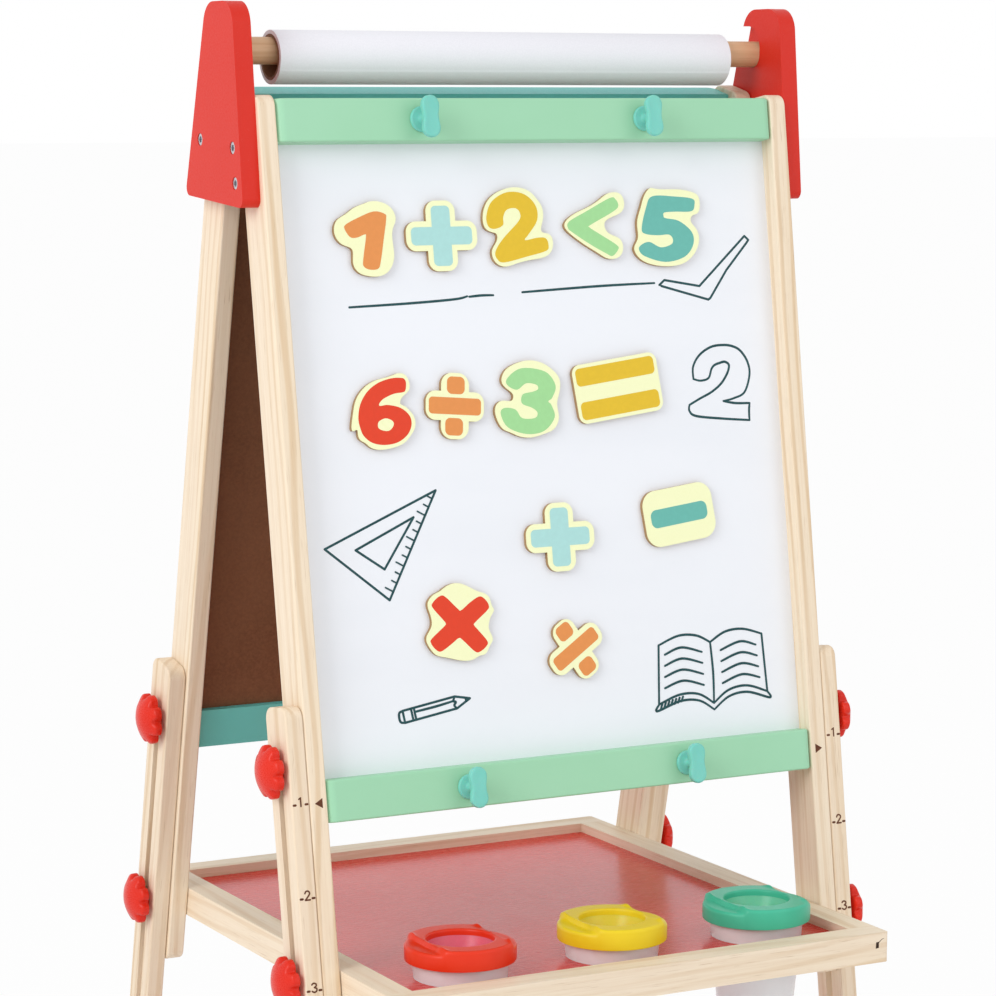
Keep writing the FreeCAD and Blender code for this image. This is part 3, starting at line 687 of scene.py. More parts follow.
def capsule(line: Sequence[Point], half: Callable[[float], float], ends: bool = True) -> List[Point]:
    """Outline of a stroke of varying width along a line.

    Args:
        line: Centre line.
        half: Half width at a share of the length.
        ends: Whether the ends are round.

    Returns:
        The outline, first up one side and then back down the other.
    """
    left: List[Point] = []
    right: List[Point] = []
    count = len(line)
    for k, (x, z) in enumerate(line):
        (xa, za), (xb, zb) = line[max(k - 1, 0)], line[min(k + 1, count - 1)]
        length = math.hypot(xb - xa, zb - za) or 1.0
        nx, nz = -(zb - za) / length, (xb - xa) / length
        w = half(k / (count - 1))
        left.append((x + nx * w, z + nz * w))
        right.append((x - nx * w, z - nz * w))
    if not ends:
        return left + right[::-1]
    caps = []
    for at, prior, w in ((line[-1], line[-2], half(1.0)), (line[0], line[1], half(0.0))):
        heading = math.degrees(math.atan2(at[1] - prior[1], at[0] - prior[0]))
        caps.append(arc(at[0], at[1], w, heading + 90, heading - 90, 10)[1:-1])
    return left + caps[0] + right[::-1] + caps[1]


@dataclass
class Decal:
    """Flat marks laid on a plane of the leaning front panel.

    Attributes:
        piece: The mesh that gathers the marks.
        depth: Depth of the plane behind the face of the uprights, in millimetres.
        lift: How far the next mark lies in front of the plane.
    """

    piece: Piece
    depth: float
    lift: float = 0.05

    def stroke(self, line: Sequence[Point], half: Callable[[float], float]) -> None:
        """Adds one stroke as a strip with round ends."""
        outline = capsule(line, half)
        count = len(line)
        caps = 9
        left = list(range(count))
        right = list(range(2 * count + caps - 1, count + caps - 1, -1))
        faces: List[Face] = [(left[k], left[k + 1], right[k + 1], right[k]) for k in range(count - 1)]
        faces.append(tuple([left[-1]] + list(range(count, count + caps)) + [right[-1]]))
        faces.append(tuple([right[0]] + list(range(2 * count + caps, 2 * count + 2 * caps)) + [left[0]]))
        self.piece.add([front_frame(x, self.depth - self.lift, z) for x, z in outline], faces)
        self.lift += 0.004

    def patch(self, outline: Sequence[Point]) -> None:
        """Adds one filled outline."""
        self.piece.add([front_frame(x, self.depth - self.lift, z) for x, z in outline],
                       [tuple(range(len(outline)))])
        self.lift += 0.004


# ---------------------------------------------------------------- sub-assemblies
WOOD_SEEDS = {
    "front_stile_left": 0.3, "front_stile_right": 1.4, "rear_stile_left": 2.2, "rear_stile_right": 3.7,
    "front_leg_left": 4.1, "front_leg_right": 5.3, "rear_leg_left": 6.2, "rear_leg_right": 7.9,
    "tray_front_rail": 8.6, "tray_rear_rail": 9.4, "tray_left_rail": 10.7, "tray_right_rail": 11.1,
}


@dataclass
class Timbers:
    """Uprights, legs and tray rails in clear pine.

    Attributes:
        seeds: Pattern offset of each timber.
        leg_pale: Early wood of the legs.
        leg_dark: Late wood of the legs.
    """

    seeds: Dict[str, float] = field(default_factory=lambda: dict(WOOD_SEEDS))
    leg_pale: Colour = tone(240, 221, 197)
    leg_dark: Colour = tone(214, 183, 146)

    def grain_of(self, node: str) -> Grain:
        """The way that a timber's grain runs."""
        if node.startswith("tray"):
            return Grain.ACROSS if ("front" in node or "rear" in node) else Grain.DEEP
        return Grain.FRONT_UPRIGHT if node.startswith("front") else Grain.REAR_UPRIGHT

    def dress(self, wardrobe: Wardrobe) -> None:
        """Gives each timber its own pine."""
        for node, seed in self.seeds.items():
            if "leg" in node:
                pine = Pine("pine_" + node, self.grain_of(node), seed, self.leg_pale, self.leg_dark)
            else:
                pine = Pine("pine_" + node, self.grain_of(node), seed)
            wardrobe.lay_node(node, pine)
        wardrobe.lay_node("roller_dowel", Pine("ramin", Grain.ACROSS, 12.5, tone(222, 186, 146),
                                               tone(190, 146, 100)))


@dataclass
class Panels:
    """Painted rails, boards, side plates and their screws."""

    mint: Paint = Paint("mint_paint", tone(160, 215, 178), tone(168, 220, 186))
    teal: Paint = Paint("teal_paint", tone(114, 212, 204), tone(122, 216, 208))
    red: Paint = Paint("red_paint", tone(214, 40, 24), tone(219, 48, 32), 0.45)

    def dress(self, wardrobe: Wardrobe) -> None:
        """Gives the panels their finishes."""
        finishes = {
            "front_top_rail": self.mint, "front_bottom_rail": self.mint,
            "rear_top_rail": self.teal, "rear_bottom_rail": self.teal,
            "side_plate_left": self.red, "side_plate_right": self.red,
            "whiteboard": Enamel("white_enamel", tone(240, 243, 249)),
            "chalkboard": Hardboard("hardboard"),
        }
        for node, finish in finishes.items():
            wardrobe.lay_node(node, finish)
        steel = Steel("zinc_steel")
        for node in ("plate_screws", "front_bolts", "rear_bolts", "tray_pins", "tray_bolt_stubs"):
            wardrobe.lay_node(node, steel)


@dataclass
class Knobs:
    """Eight scalloped clamp knobs.

    Attributes:
        radius: Over the lobes, in millimetres; not used.
        lobes: Number of lobes.
        notch: Depth of a notch between lobes.
        notch_width: Half width of a notch, in degrees.
        profile: Distance from the leg, radius and share of the notch for each ring.
    """

    radius: float = 20.0
    lobes: int = 8
    notch: float = 3.9
    notch_width: float = 8.5
    segments: int = 144
    profile: Tuple[Tuple[float, float, float], ...] = (
        (0.0, 8.2, 0), (0.0, 9.0, 0), (2.6, 9.0, 0), (3.0, 9.6, 0.1), (3.2, 12.0, 0.4), (3.3, 17.4, 0.8),
        (3.5, 19.0, 1), (3.9, 19.7, 1), (4.6, 20.0, 1), (6.4, 20.0, 1), (8.2, 19.9, 1), (8.9, 19.7, 0.97),
        (9.5, 19.2, 0.9), (10.1, 18.4, 0.72), (10.7, 17.5, 0.5), (11.4, 16.4, 0.28), (12.2, 15.0, 0.1),
        (13.1, 13.2, 0.02), (14.1, 10.9, 0), (15.0, 8.4, 0), (15.7, 5.8, 0), (16.1, 3.2, 0), (16.2, 0.6, 0))
    finish: Plastic = Plastic("knob_red", tone(224, 44, 24), tone(214, 34, 18), 0.28)

    def _ring(self, out: float, radius: float, share: float) -> List[Tuple[float, float, float]]:
        """One ring about the X axis."""
        ring = []
        for i in range(self.segments):
            angle = 360.0 * i / self.segments
            pitch = 360.0 / self.lobes
            off = (angle + pitch / 2) % pitch - pitch / 2
            r = radius - share * self.notch * math.exp(-(off / self.notch_width) ** 2)
            ring.append((out, r * math.cos(math.radians(angle)), r * math.sin(math.radians(angle))))
        return ring

    def build(self, wardrobe: Wardrobe) -> None:
        """Builds all knobs at their bolts."""
        for end in ("front", "rear"):
            for level in ("upper", "lower"):
                for side in Side:
                    node = "%s_knob_%s_%s" % (end, level, side.name.lower())
                    low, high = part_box(node)
                    start = low.x if side is Side.RIGHT else high.x
                    centre = (low + high) / 2
                    piece = Piece("knob_" + node.replace("_knob", ""), node, "knob_red", self.finish)
                    rings = [[Vector((start + side.value * x * MM, centre.y + y * MM, centre.z + z * MM))
                              for x, y, z in self._ring(*row)] for row in self.profile]
                    piece.loft(rings, True, True)
                    piece.build(wardrobe, 50.0, [node])


@dataclass
class Clips:
    """Four turning paper clips with a peanut-shaped wing.

    Attributes:
        disc: Radius and thickness of the washer.
        wing: Radius of a lobe, its offset and the half width of the waist.
        thick: Thickness of the wing.
        reach: Length of the stem between washer and wing.
    """

    disc: Point = (9.3, 3.0)
    wing: Tuple[float, float, float] = (6.9, 8.3, 5.9)
    thick: float = 5.0
    reach: float = 9.5
    finish: Plastic = Plastic("clip_teal", tone(126, 210, 196), tone(116, 202, 188), 0.36, 0.15)

    def _wing_outline(self, grow: float) -> List[Point]:
        """Peanut outline, made larger by a distance."""
        lobe, off, waist = self.wing
        right: List[Point] = []
        for k in range(13):
            z = -off + 2 * off * k / 12
            w = lobe - (lobe - waist) * math.cos(math.pi * z / (2 * off)) ** 2
            right.append((w + grow, z))
        top = arc(0.0, off, lobe + grow, 0, 180, 16)[1:-1]
        left = [(-x, z) for x, z in reversed(right)]
        low = arc(0.0, -off, lobe + grow, 180, 360, 16)[1:-1]
        return right + top + left + low

    def build(self, wardrobe: Wardrobe) -> None:
        """Builds the clips at their stems."""
        for row, middle in (("top", -3.5 - 15.5), ("bottom", -489.5 - 15.5)):
            for side in Side:
                node = "clip_%s_%s" % (row, side.name.lower())
                x = 93.5 * side.value
                face = -RAIL_PROUD - 0.3
                piece = Piece("paper_" + node, node, "clip_teal", self.finish)
                r, t = self.disc
                turned = [(12.0, 3.0), (0.0, 3.0), (0.0, r - 0.6), (-0.4, r), (-t + 1.0, r),
                          (-t + 0.3, r - 0.5), (-t, r - 1.3), (-t - 0.1, 4.6), (-t - 0.9, 3.8), (-t - 2.0, 3.4),
                          (-t - self.reach + 1.5, 3.4), (-t - self.reach - 0.6, 4.6)]
                rings = [[front_frame(x + radius * math.cos(a), face + depth, middle + radius * math.sin(a))
                          for a in (2 * math.pi * i / 48 for i in range(48))] for depth, radius in turned]
                piece.loft(rings, True, True)
                back = face - t - self.reach
                layers = [(0.0, -1.6), (-0.15, -0.7), (-0.7, -0.15), (-1.4, 0.0), (-self.thick + 1.4, 0.0),
                          (-self.thick + 0.7, -0.15), (-self.thick + 0.15, -0.7), (-self.thick, -1.6),
                          (-self.thick + 0.25, -3.4)]
                rings = [[front_frame(x + px, back + depth, middle + pz)
                          for px, pz in self._wing_outline(grow)] for depth, grow in layers]
                piece.loft(rings, True, True)
                piece.build(wardrobe, 50.0, [node])


@dataclass
class PaperRoll:
    """Wound paper on its card core, with a free outer edge.

    Attributes:
        length: Width of the paper, in millimetres.
        outer: Radius of the roll.
        inner: Radius of the card core.
        bore: Bore of the card core.
        edge: Thickness that shows at the free edge.
        edge_at: Where the free edge lies, in degrees.
    """

    length: float = 380.0
    outer: float = 19.5
    inner: float = 16.5
    bore: float = 14.5
    edge: float = 0.35
    edge_at: float = 210.0

    def build(self, wardrobe: Wardrobe) -> None:
        """Builds the paper and the core."""
        low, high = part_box("roll_paper")
        cy, cz = (low.y + high.y) / 2, (low.z + high.z) / 2
        count = 160
        wave = [0.0, 0.12, 0.05, 0.16, 0.02, 0.1]

        def ring(x: float, radius: float, wound: bool) -> List[Vector]:
            """One ring of the roll; a wound ring steps at the free edge."""
            out = []
            for i in range(count):
                share = i / count
                r = radius - (self.edge * share if wound else 0.0)
                a = math.radians(self.edge_at + 360.0 * share)
                out.append(Vector((x * MM, cy + r * math.cos(a) * MM, cz + r * math.sin(a) * MM)))
            return out

        half = self.length / 2
        rows = []
        steps = 5
        for k in range(steps + 1):
            r = self.inner + 0.02 + (self.outer - 0.35 - self.inner) * k / steps
            rows.append((-half + wave[k], r, False))
        rows.append((-half + 0.3, self.outer, True))
        rows.append((half - 0.3, self.outer, True))
        for k in range(steps, -1, -1):
            r = self.inner + 0.02 + (self.outer - 0.35 - self.inner) * k / steps
            rows.append((half - wave[k], r, False))
        rings = [ring(*row) for row in rows]
        paper = Piece("wound_paper", "roll", "paper_white",
                      Paper("drawing_paper", tone(240, 240, 246), tone(196, 196, 206), 1800.0, (cy, cz)))
        paper.loft(rings + [rings[0]], False, False)
        paper.build(wardrobe, 30.0, ["roll_paper"])
        core = Piece("card_core", "roll", "card_brown",
                     Paper("core_card", tone(142, 104, 78), tone(104, 72, 52), 1400.0, (cy, cz)))
        rows = [(-half, self.bore, False), (-half, self.inner - 0.1, False), (half, self.inner - 0.1, False),
                (half, self.bore, False)]
        rings = [ring(*row) for row in rows]
        core.loft(rings + [rings[0]], False, False)
        core.build(wardrobe, 30.0, ["roll_core"])


@dataclass
class Pots:
    """Three paint pots: frosted cups and coloured non-spill lids.

    Attributes:
        band: Half width of the raised band across a lid.
        heights: Height of the rim's foot, the flat and the band above the panel.
        radii: Radius of the lid, of the funnel's mouth and of its tip.
        nub: Height and half width of the small nubs beside the band.
    """

    band: float = 28.0
    heights: Tuple[float, float, float] = (13.0, 25.0, 28.5)
    radii: Tuple[float, float, float] = (41.0, 25.0, 12.0)
    nub: Point = (1.7, 2.4)
    tip: float = -1.5
    segments: int = 192

    def _top(self, x: float, y: float) -> float:
        """Height of the lid's upper skin at a point from its centre."""
        _, flat, raised = self.heights
        share = min(max((self.band + 1.0 - abs(x)) / 2.0, 0.0), 1.0)
        rise = (raised - flat) * share * share * (3 - 2 * share)
        reach = math.hypot(x, y)
        bump = math.exp(-((abs(x) - self.band + 0.5) / self.nub[1]) ** 2 - ((reach - 36.0) / 3.0) ** 2)
        return flat + rise + self.nub[0] * bump

    def _lid(self, node: str, finish: Plastic, funnel: Plastic, wardrobe: Wardrobe) -> None:
        """Builds one lid with its funnel."""
        low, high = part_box(node)
        cx, cy = (low.x + high.x) / 2 / MM, (low.y + high.y) / 2 / MM
        outer, mouth, tip = self.radii
        foot = self.heights[0]
        angles = [2 * math.pi * i / self.segments for i in range(self.segments)]

        def ring(radius: float, height: Optional[float], drop: float = 0.0) -> List[Vector]:
            """A ring at a height, or on the upper skin less a drop."""
            out = []
            for a in angles:
                x, y = radius * math.cos(a), radius * math.sin(a)
                h = self._top(x, y) - drop if height is None else height
                out.append(Vector(((cx + x) * MM, (cy + y) * MM, (PANEL_TOP + h) * MM)))
            return out

        skin = [ring(37.5, foot + 8), ring(37.5, foot + 0.4), ring(38.2, foot), ring(40.2, foot),
                ring(outer - 0.2, foot + 0.3), ring(outer, foot + 1.0), ring(outer, None, 2.6),
                ring(outer - 0.15, None, 1.6), ring(outer - 0.6, None, 0.8), ring(outer - 1.3, None, 0.25),
                ring(outer - 2.2, None)]
        skin += [ring(outer - 2.2 - k * (outer - 2.2 - mouth - 1.4) / 14, None) for k in range(1, 15)]
        skin += [ring(mouth + 0.7, None, 0.2), ring(mouth + 0.2, None, 0.7), ring(mouth, None, 1.6),
                 ring(mouth - 0.1, self.heights[1] - 1.2)]
        piece = Piece("lid_skin_" + node.rsplit("_", 1)[1], node, finish.name, finish)
        piece.loft(skin, False, False)
        piece.build(wardrobe, 40.0, [node])
        height = self.heights[1] - 1.1
        cone = []
        for k in range(15):
            u = k / 14
            cone.append(ring(mouth - 0.1 - (mouth - tip) * u ** 1.15, height - (height - self.tip) * u))
        cone += [ring(tip + 1.2, self.tip), ring(mouth + 0.9, height - 1.4)]
        inner = Piece("lid_funnel_" + node.rsplit("_", 1)[1], node, finish.name, funnel)
        inner.loft(cone + [cone[0]], False, False)
        inner.build(wardrobe, 40.0)

    def build(self, wardrobe: Wardrobe) -> None:
        """Builds all pots."""
        lids = {
            "red": (Plastic("lid_red", tone(232, 56, 26), tone(224, 46, 18), 0.33),
                    Plastic("funnel_red", tone(232, 110, 130), tone(222, 92, 112), 0.3, 0.3)),
            "yellow": (Plastic("lid_yellow", tone(240, 211, 38), tone(232, 200, 24), 0.36),
                       Plastic("funnel_yellow", tone(236, 212, 70), tone(228, 200, 50), 0.3, 0.3)),
            "green": (Plastic("lid_green", tone(76, 190, 156), tone(64, 180, 144), 0.36),
                      Plastic("funnel_green", tone(120, 205, 170), tone(104, 196, 156), 0.3, 0.3)),
        }
        clear = Plastic("frosted_cup", tone(253, 253, 255), tone(248, 249, 252), 0.3, 0.0, 0.0, 0.62)
        for key, (finish, funnel) in lids.items():
            self._lid("pot_lid_" + key, finish, funnel, wardrobe)
            wardrobe.lay_node("pot_cup_" + key, clear)


PLUS = [(50.1, 13.2, 3.6, 0, 0), (15.4, 43.8, 3.6, 0, 0)]
SIGN_BARS: Dict[str, Tuple[Point, float, str, List[Tuple[float, float, float, float, float]]]] = {
    "plus": ((-77.2, -101.8), 0.0, "sky", PLUS),
    "plus_low": ((4.3, -327.3), 0.0, "sky", PLUS),
    "divide": ((-76.3, -226.1), -5.0, "orange",
               [(43, 12.4, 3.0, 0, 0), (14.6, 12.8, 4.0, 0.6, 15.2), (14.6, 12.8, 4.0, -0.6, -15.2)]),
    "divide_low": ((11.0, -411.8), 33.0, "orange",
                   [(43, 11.2, 3.0, 0, 0), (13.4, 12.0, 3.8, 0, 16.2), (13.4, 12.0, 3.8, 0, -16.2)]),
    "equals": ((62.6, -218.5), 6.8, "yellow", [(68.8, 13.5, 3.6, 0, 12.7), (68.8, 13.5, 3.6, 0, -12.7)]),
    "minus": ((109.0, -316.7), 6.8, "teal", [(50.3, 13.9, 5.0, 0, 0)]),
}
SIGN_LOOPS: Dict[str, Tuple[Point, str, List[List[Point]]]] = {
    "one": ((-138.8, -102.9), "orange", [
        [
            (7.6, 19.7), (16.3, 17.9), (17.4, 14.2), (14.3, -0.1), (10.7, -15.9), (8.1, -21.5),
            (1.2, -22), (-3.5, -19.4), (-3.2, -13.6), (0, 1.2), (-0.8, 3.3), (-7, 1.2), (-12.5, 1.6),
            (-16.4, 7.2), (-15.5, 10.6), (-5.2, 15.4)]]),
    "two": ((-13.4, -96.3), "yellow", [
        [
            (-7.6, 25.4), (6.7, 24), (16, 15.5), (16.6, 4.6), (8.3, -6), (5.2, -9.1), (6.6, -10),
            (15.9, -8.4), (22.9, -9), (24.8, -14.3), (22.3, -18.3), (6.5, -22), (-13.2, -26),
            (-19, -23.7), (-20.3, -18), (-13.3, -8.7), (1, 4.2), (2.4, 10.2), (-1.4, 13.7),
            (-8.5, 12.5), (-11.8, 7.3), (-12.4, 1.5), (-19, -1.2), (-24.4, 0.3), (-25.9, 7.7),
            (-20.7, 18.7)]]),
    "less": ((52.9, -97), "lime", [
        [
            (13.5, 20.6), (18.7, 19.7), (20.7, 14.5), (14.9, 10), (-4, 1.1), (-5.3, -1), (3.6, -6.4),
            (17.4, -14.7), (17.8, -18.3), (12.8, -22.6), (7.4, -20.5), (-6.1, -13.3), (-20.2, -4.4),
            (-23.8, -1.3), (-22.6, 3.7), (-7.4, 11)]]),
    "five": ((115.6, -98.9), "teal", [
        [
            (-11.7, 23.4), (8.5, 22.9), (23.7, 21), (25.2, 16.4), (22, 11.6), (7.5, 11.5), (-1.9, 11),
            (-2.9, 8.3), (-1.1, 6.7), (10.5, 4.4), (21.2, -4.1), (21.8, -13.6), (13.4, -22.7),
            (-3.9, -26.2), (-21.7, -21.5), (-26.4, -16.5), (-24.1, -12.9), (-16.8, -10.9),
            (-7.3, -15.1), (2.2, -13.1), (4, -9.2), (0.7, -5.7), (-8.6, -6), (-19.3, -4.9),
            (-22.9, -0.9), (-17.8, 15)]]),
    "six": ((-135, -227.9), "red", [
        [
            (8, 24.1), (16.7, 24.1), (19.3, 22.6), (20, 20), (19.2, 15.3), (17, 13.7), (9.3, 12.8),
            (0.9, 9.6), (-2.7, 6.4), (-2.9, 4.9), (-1.3, 4.6), (4.3, 5), (13.4, 2.8), (19.4, -1.4),
            (22.1, -6.4), (21.5, -12.2), (17.6, -17.9), (9.6, -22.5), (-1, -23.8), (-10.7, -21.7),
            (-16.9, -16.7), (-19.3, -11.1), (-20.4, -3.5), (-18, 6.5), (-11.8, 15.2), (-2.9, 21.1)],
        [
            (1.4, -4.6), (-4, -6.6), (-5.2, -9.9), (-3.6, -12.4), (1.7, -13.8), (5.4, -12.6),
            (7.7, -9.2), (6.5, -6.4)]]),
    "three": ((-15.4, -223.7), "lime", [
        [
            (-3.4, 23.1), (16.4, 19.9), (24.5, 9.4), (21, 0.4), (17.4, -2.3), (19.9, -5.2),
            (21.9, -14.5), (12.1, -24.1), (-3, -25.6), (-18.2, -19.9), (-23.4, -9.7), (-20, -5.6),
            (-10.7, -7.2), (-5.6, -13.7), (5.2, -14.1), (7.6, -10.1), (3, -6.3), (-4.9, -2.9),
            (-3.8, 3.7), (4.9, 5.4), (9.5, 7.2), (8.1, 10.5), (-0.4, 11.8), (-8.3, 7.4), (-16.1, 11.1),
            (-15.7, 16.3)]]),
    "times": ((-84.7, -385.5), "red", [
        [
            (-15.7, 21.1), (-11, 20.6), (-1.4, 11.1), (1.5, 9.7), (9.3, 14.9), (17.3, 18.7),
            (22, 16.2), (24.7, 11.4), (22.9, 7.9), (12.4, 0), (11.3, -2.1), (14.3, -5.8),
            (21.3, -14.5), (20.5, -18.1), (15.1, -21.8), (10.5, -21.5), (1.5, -12.8), (-2, -10.6),
            (-7.6, -14), (-17.2, -19.3), (-21.9, -17.3), (-25.3, -12.4), (-24.1, -9.2), (-13.6, -1.3),
            (-12, 1), (-14.1, 3.9), (-21.9, 13.4), (-21.3, 17)]]),
}


def corner_bar(width: float, height: float, radius: float, cx: float = 0.0, cz: float = 0.0) -> List[Point]:
    """Outline of a rounded bar."""
    out: List[Point] = []
    for k, (sx, sz) in enumerate(((1, 1), (-1, 1), (-1, -1), (1, -1))):
        out += arc(cx + sx * (width / 2 - radius), cz + sz * (height / 2 - radius), radius, 90 * k, 90 * k + 90, 8)
    return out


@dataclass
class Signs:
    """Thirteen magnetic digits and signs on the whiteboard.

    Attributes:
        inks: Print colours by name.
        bars: Rounded bars printed on a sign, about its centre and turned with it.
        loops: Smooth outlines printed on a sign; a second outline is a counter in the base colour.
    """

    inks: Dict[str, Colour] = field(default_factory=lambda: {
        "orange": tone(229, 146, 78), "sky": tone(173, 221, 218), "yellow": tone(228, 190, 40),
        "lime": tone(162, 219, 152), "teal": tone(104, 184, 172), "red": tone(226, 62, 28)})
    bars: Dict[str, Tuple[Point, float, str, List[Tuple[float, float, float, float, float]]]] = field(
        default_factory=lambda: dict(SIGN_BARS))
    loops: Dict[str, Tuple[Point, str, List[List[Point]]]] = field(default_factory=lambda: dict(SIGN_LOOPS))
    cream: Print = Print("print_cream", tone(250, 253, 205), tone(243, 247, 190), 0.45)

    def _print(self, key: str, colour: str, suffix: str = "") -> Decal:
        """Starts the print of one sign."""
        tint = self.inks[colour]
        ink = Print("print_" + colour, tint, tuple(min(1.0, c * 1.06) for c in tint), 0.42)
        return Decal(Piece("print_" + key + suffix, "magnet_" + key, "magnet_cream", ink), BOARD_SET - MAGNET_T)

    def build(self, wardrobe: Wardrobe) -> None:
        """Builds all prints and dresses the bases."""
        base = SignBase("magnet_cream")
        for key, (centre, turn, colour, bars) in self.bars.items():
            decal = self._print(key, colour)
            c, s = math.cos(math.radians(turn)), math.sin(math.radians(turn))
            for width, height, radius, x, z in bars:
                outline = corner_bar(width, height, radius, x, z)
                decal.patch([(centre[0] + px * c - pz * s, centre[1] + px * s + pz * c) for px, pz in outline])
            decal.piece.build(wardrobe, 60.0)
            wardrobe.lay_node("magnet_" + key, base)
        for key, (centre, colour, outlines) in self.loops.items():
            decal = self._print(key, colour)
            for number, outline in enumerate(outlines):
                line = curve_through(outline, 5, True)[:-1]
                if number:
                    decal.piece.build(wardrobe, 60.0)
                    decal = self._print(key, colour, "_counter")
                    decal.piece.finish = self.cream
                    decal.lift = 0.09
                decal.patch([(centre[0] + x, centre[1] + z) for x, z in line])
            decal.piece.build(wardrobe, 60.0)
            wardrobe.lay_node("magnet_" + key, base)


@dataclass
class Drawings:
    """Marker drawings on the whiteboard.

    Attributes:
        half: Half width of the marker line, in millimetres.
        lines: Open or closed lines as control points, with whether they are smooth.
    """

    half: float = 0.9
    ink: Print = Print("marker_ink", tone(18, 66, 70), tone(40, 90, 94), 0.5)
    lines: List[Tuple[bool, List[Point]]] = field(default_factory=lambda: [
        (True, [(-154.4, -151.3), (-105.8, -149.8), (-68.7, -147.9), (-57.8, -146.0)]),
        (True, [(-56.2, -146.4), (-46.0, -145.7), (-36.1, -145.8)]),
        (True, [(-11.6, -144.3), (54.6, -141.5), (102.8, -140.5)]),
        (False, [(107.1, -142.1), (111.8, -138.5), (142.6, -143.8), (186.0, -106.6), (189.4, -109.7),
                 (187.4, -112.0), (167.8, -132.2), (151.7, -153.2), (149.8, -154.3), (108.8, -142.9)]),
        (True, [(131.8, -214.3), (132.2, -205.0), (138.5, -196.3), (149.5, -190.4), (161.6, -189.4),
                (170.5, -191.2), (176.6, -195.3), (181.6, -203.5), (182.5, -213.2), (177.0, -226.1),
                (167.0, -230.4), (157.4, -232.2)]),
        (True, [(157.4, -232.2), (168.0, -234.2), (180.9, -234.7)]),
        (True, [(180.9, -234.7), (180.0, -241.0), (179.9, -247.8)]),
        (True, [(179.9, -247.8), (156.0, -245.6), (132.3, -242.6), (126.4, -238.5), (126.7, -233.9)]),
        (True, [(126.7, -233.9), (136.0, -229.6), (147.1, -224.9), (156.0, -219.0), (161.6, -212.4),
                (164.1, -207.4), (164.1, -204.1), (160.6, -202.2), (156.0, -203.0), (151.5, -204.4),
                (148.5, -207.3), (145.3, -214.1), (138.0, -215.8), (131.8, -214.3)]),
        (False, [(-188.2, -324.1), (-95.4, -286.7), (-139.2, -364.4), (-188.2, -324.1)]),
        (False, [(-163.7, -326.4), (-115.0, -305.3), (-141.5, -341.7), (-163.7, -326.4)]),
    ])

    def _ticks(self) -> List[List[Point]]:
        """Scale marks along the sloping edge of the set square."""
        (x0, z0), (x1, z1) = (-95.4, -286.7), (-139.2, -364.4)
        length = math.hypot(x1 - x0, z1 - z0)
        nx, nz = (z1 - z0) / length, -(x1 - x0) / length
        marks = []
        for k in range(1, 13):
            u = k / 13.0
            reach = 4.6 if k % 3 else 7.0
            x, z = x0 + (x1 - x0) * u, z0 + (z1 - z0) * u
            marks.append([(x, z), (x + nx * reach, z + nz * reach)])
        return marks

    def _pencil(self) -> List[Tuple[bool, List[Point]]]:
        """A pencil lying on a slant."""
        cx, cz, turn = -108.0, -446.0, math.radians(9)
        raw = [(False, [(-27, 4.5), (17, 4.5), (29, 0.2), (17, -4.5), (-27, -4.5), (-27, 4.5)]),
               (True, [(17, 4.5), (15.2, 1.6), (17, 0.2), (15.2, -1.8), (17, -4.5)]),
               (False, [(-20, 4.5), (-20, -4.5)]), (False, [(-17.6, 4.5), (-17.6, -4.5)]),
               (True, [(-17.6, 1.4), (0, 1.1), (15.4, 1.5)]), (False, [(25.4, 1.4), (25.6, -1.2)]),
               (True, [(-27, 4.5), (-30.2, 3.2), (-30.6, -2.8), (-27, -4.5)])]
        c, s = math.cos(turn), math.sin(turn)
        return [(smooth, [(cx + x * c - z * s, cz + x * s + z * c) for x, z in line]) for smooth, line in raw]

    def _book(self) -> List[Tuple[bool, List[Point]]]:
        """An open book with a few ruled lines and a shaded edge."""
        cx, cz = 131.0, -436.0
        raw = [(True, [(0, 20), (-12, 26), (-28, 27), (-46, 21)]), (True, [(0, 20), (14, 27), (30, 28), (47, 23)]),
               (False, [(-46, 21), (-49, -24)]), (False, [(47, 23), (49, -22)]),
               (True, [(-49, -24), (-30, -18), (-13, -19), (0, -27)]),
               (True, [(49, -22), (31, -16), (14, -18), (0, -27)]), (True, [(0, 20), (1, -4), (0, -27)]),
               (True, [(-49, -24), (-51, -29), (-30, -23), (-13, -24), (0, -32)]),
               (True, [(49, -22), (51, -27), (31, -21), (14, -23), (0, -32)])]
        for k in range(4):
            z = 14.5 - 8.5 * k
            raw.append((True, [(-41 - k * 0.6, z - 1), (-26, z + 3.4), (-8, z - 1.4)]))
            raw.append((True, [(9, z - 1.4), (27, z + 4), (41 + k * 0.6, z + 0.4)]))
        for k in range(7):
            x = -46 + 3.1 * k
            raw.append((False, [(x, -23.4 + 0.6 * k), (x - 1.6, -27.4 + 0.7 * k)]))
        return [(smooth, [(cx + x, cz + z) for x, z in line]) for smooth, line in raw]

    def build(self, wardrobe: Wardrobe) -> None:
        """Builds all drawings as one piece of ink."""
        decal = Decal(Piece("marker_drawings", "front_frame", "white_enamel", self.ink), BOARD_SET, 0.03)
        lines = self.lines + self._pencil() + self._book()
        for smooth, line in lines:
            dense = curve_through(line, 8) if smooth else line
            if smooth:
                decal.stroke(dense, lambda u: self.half * (0.82 + 0.25 * math.sin(2.6 * u + 0.4)))
            else:
                for a, b in zip(dense, dense[1:]):
                    decal.stroke([a, ((a[0] + b[0]) / 2, (a[1] + b[1]) / 2), b], lambda u: self.half)
        for mark in self._ticks():
            decal.stroke(mark, lambda u: self.half * 0.7)
        decal.piece.build(wardrobe, 60.0)


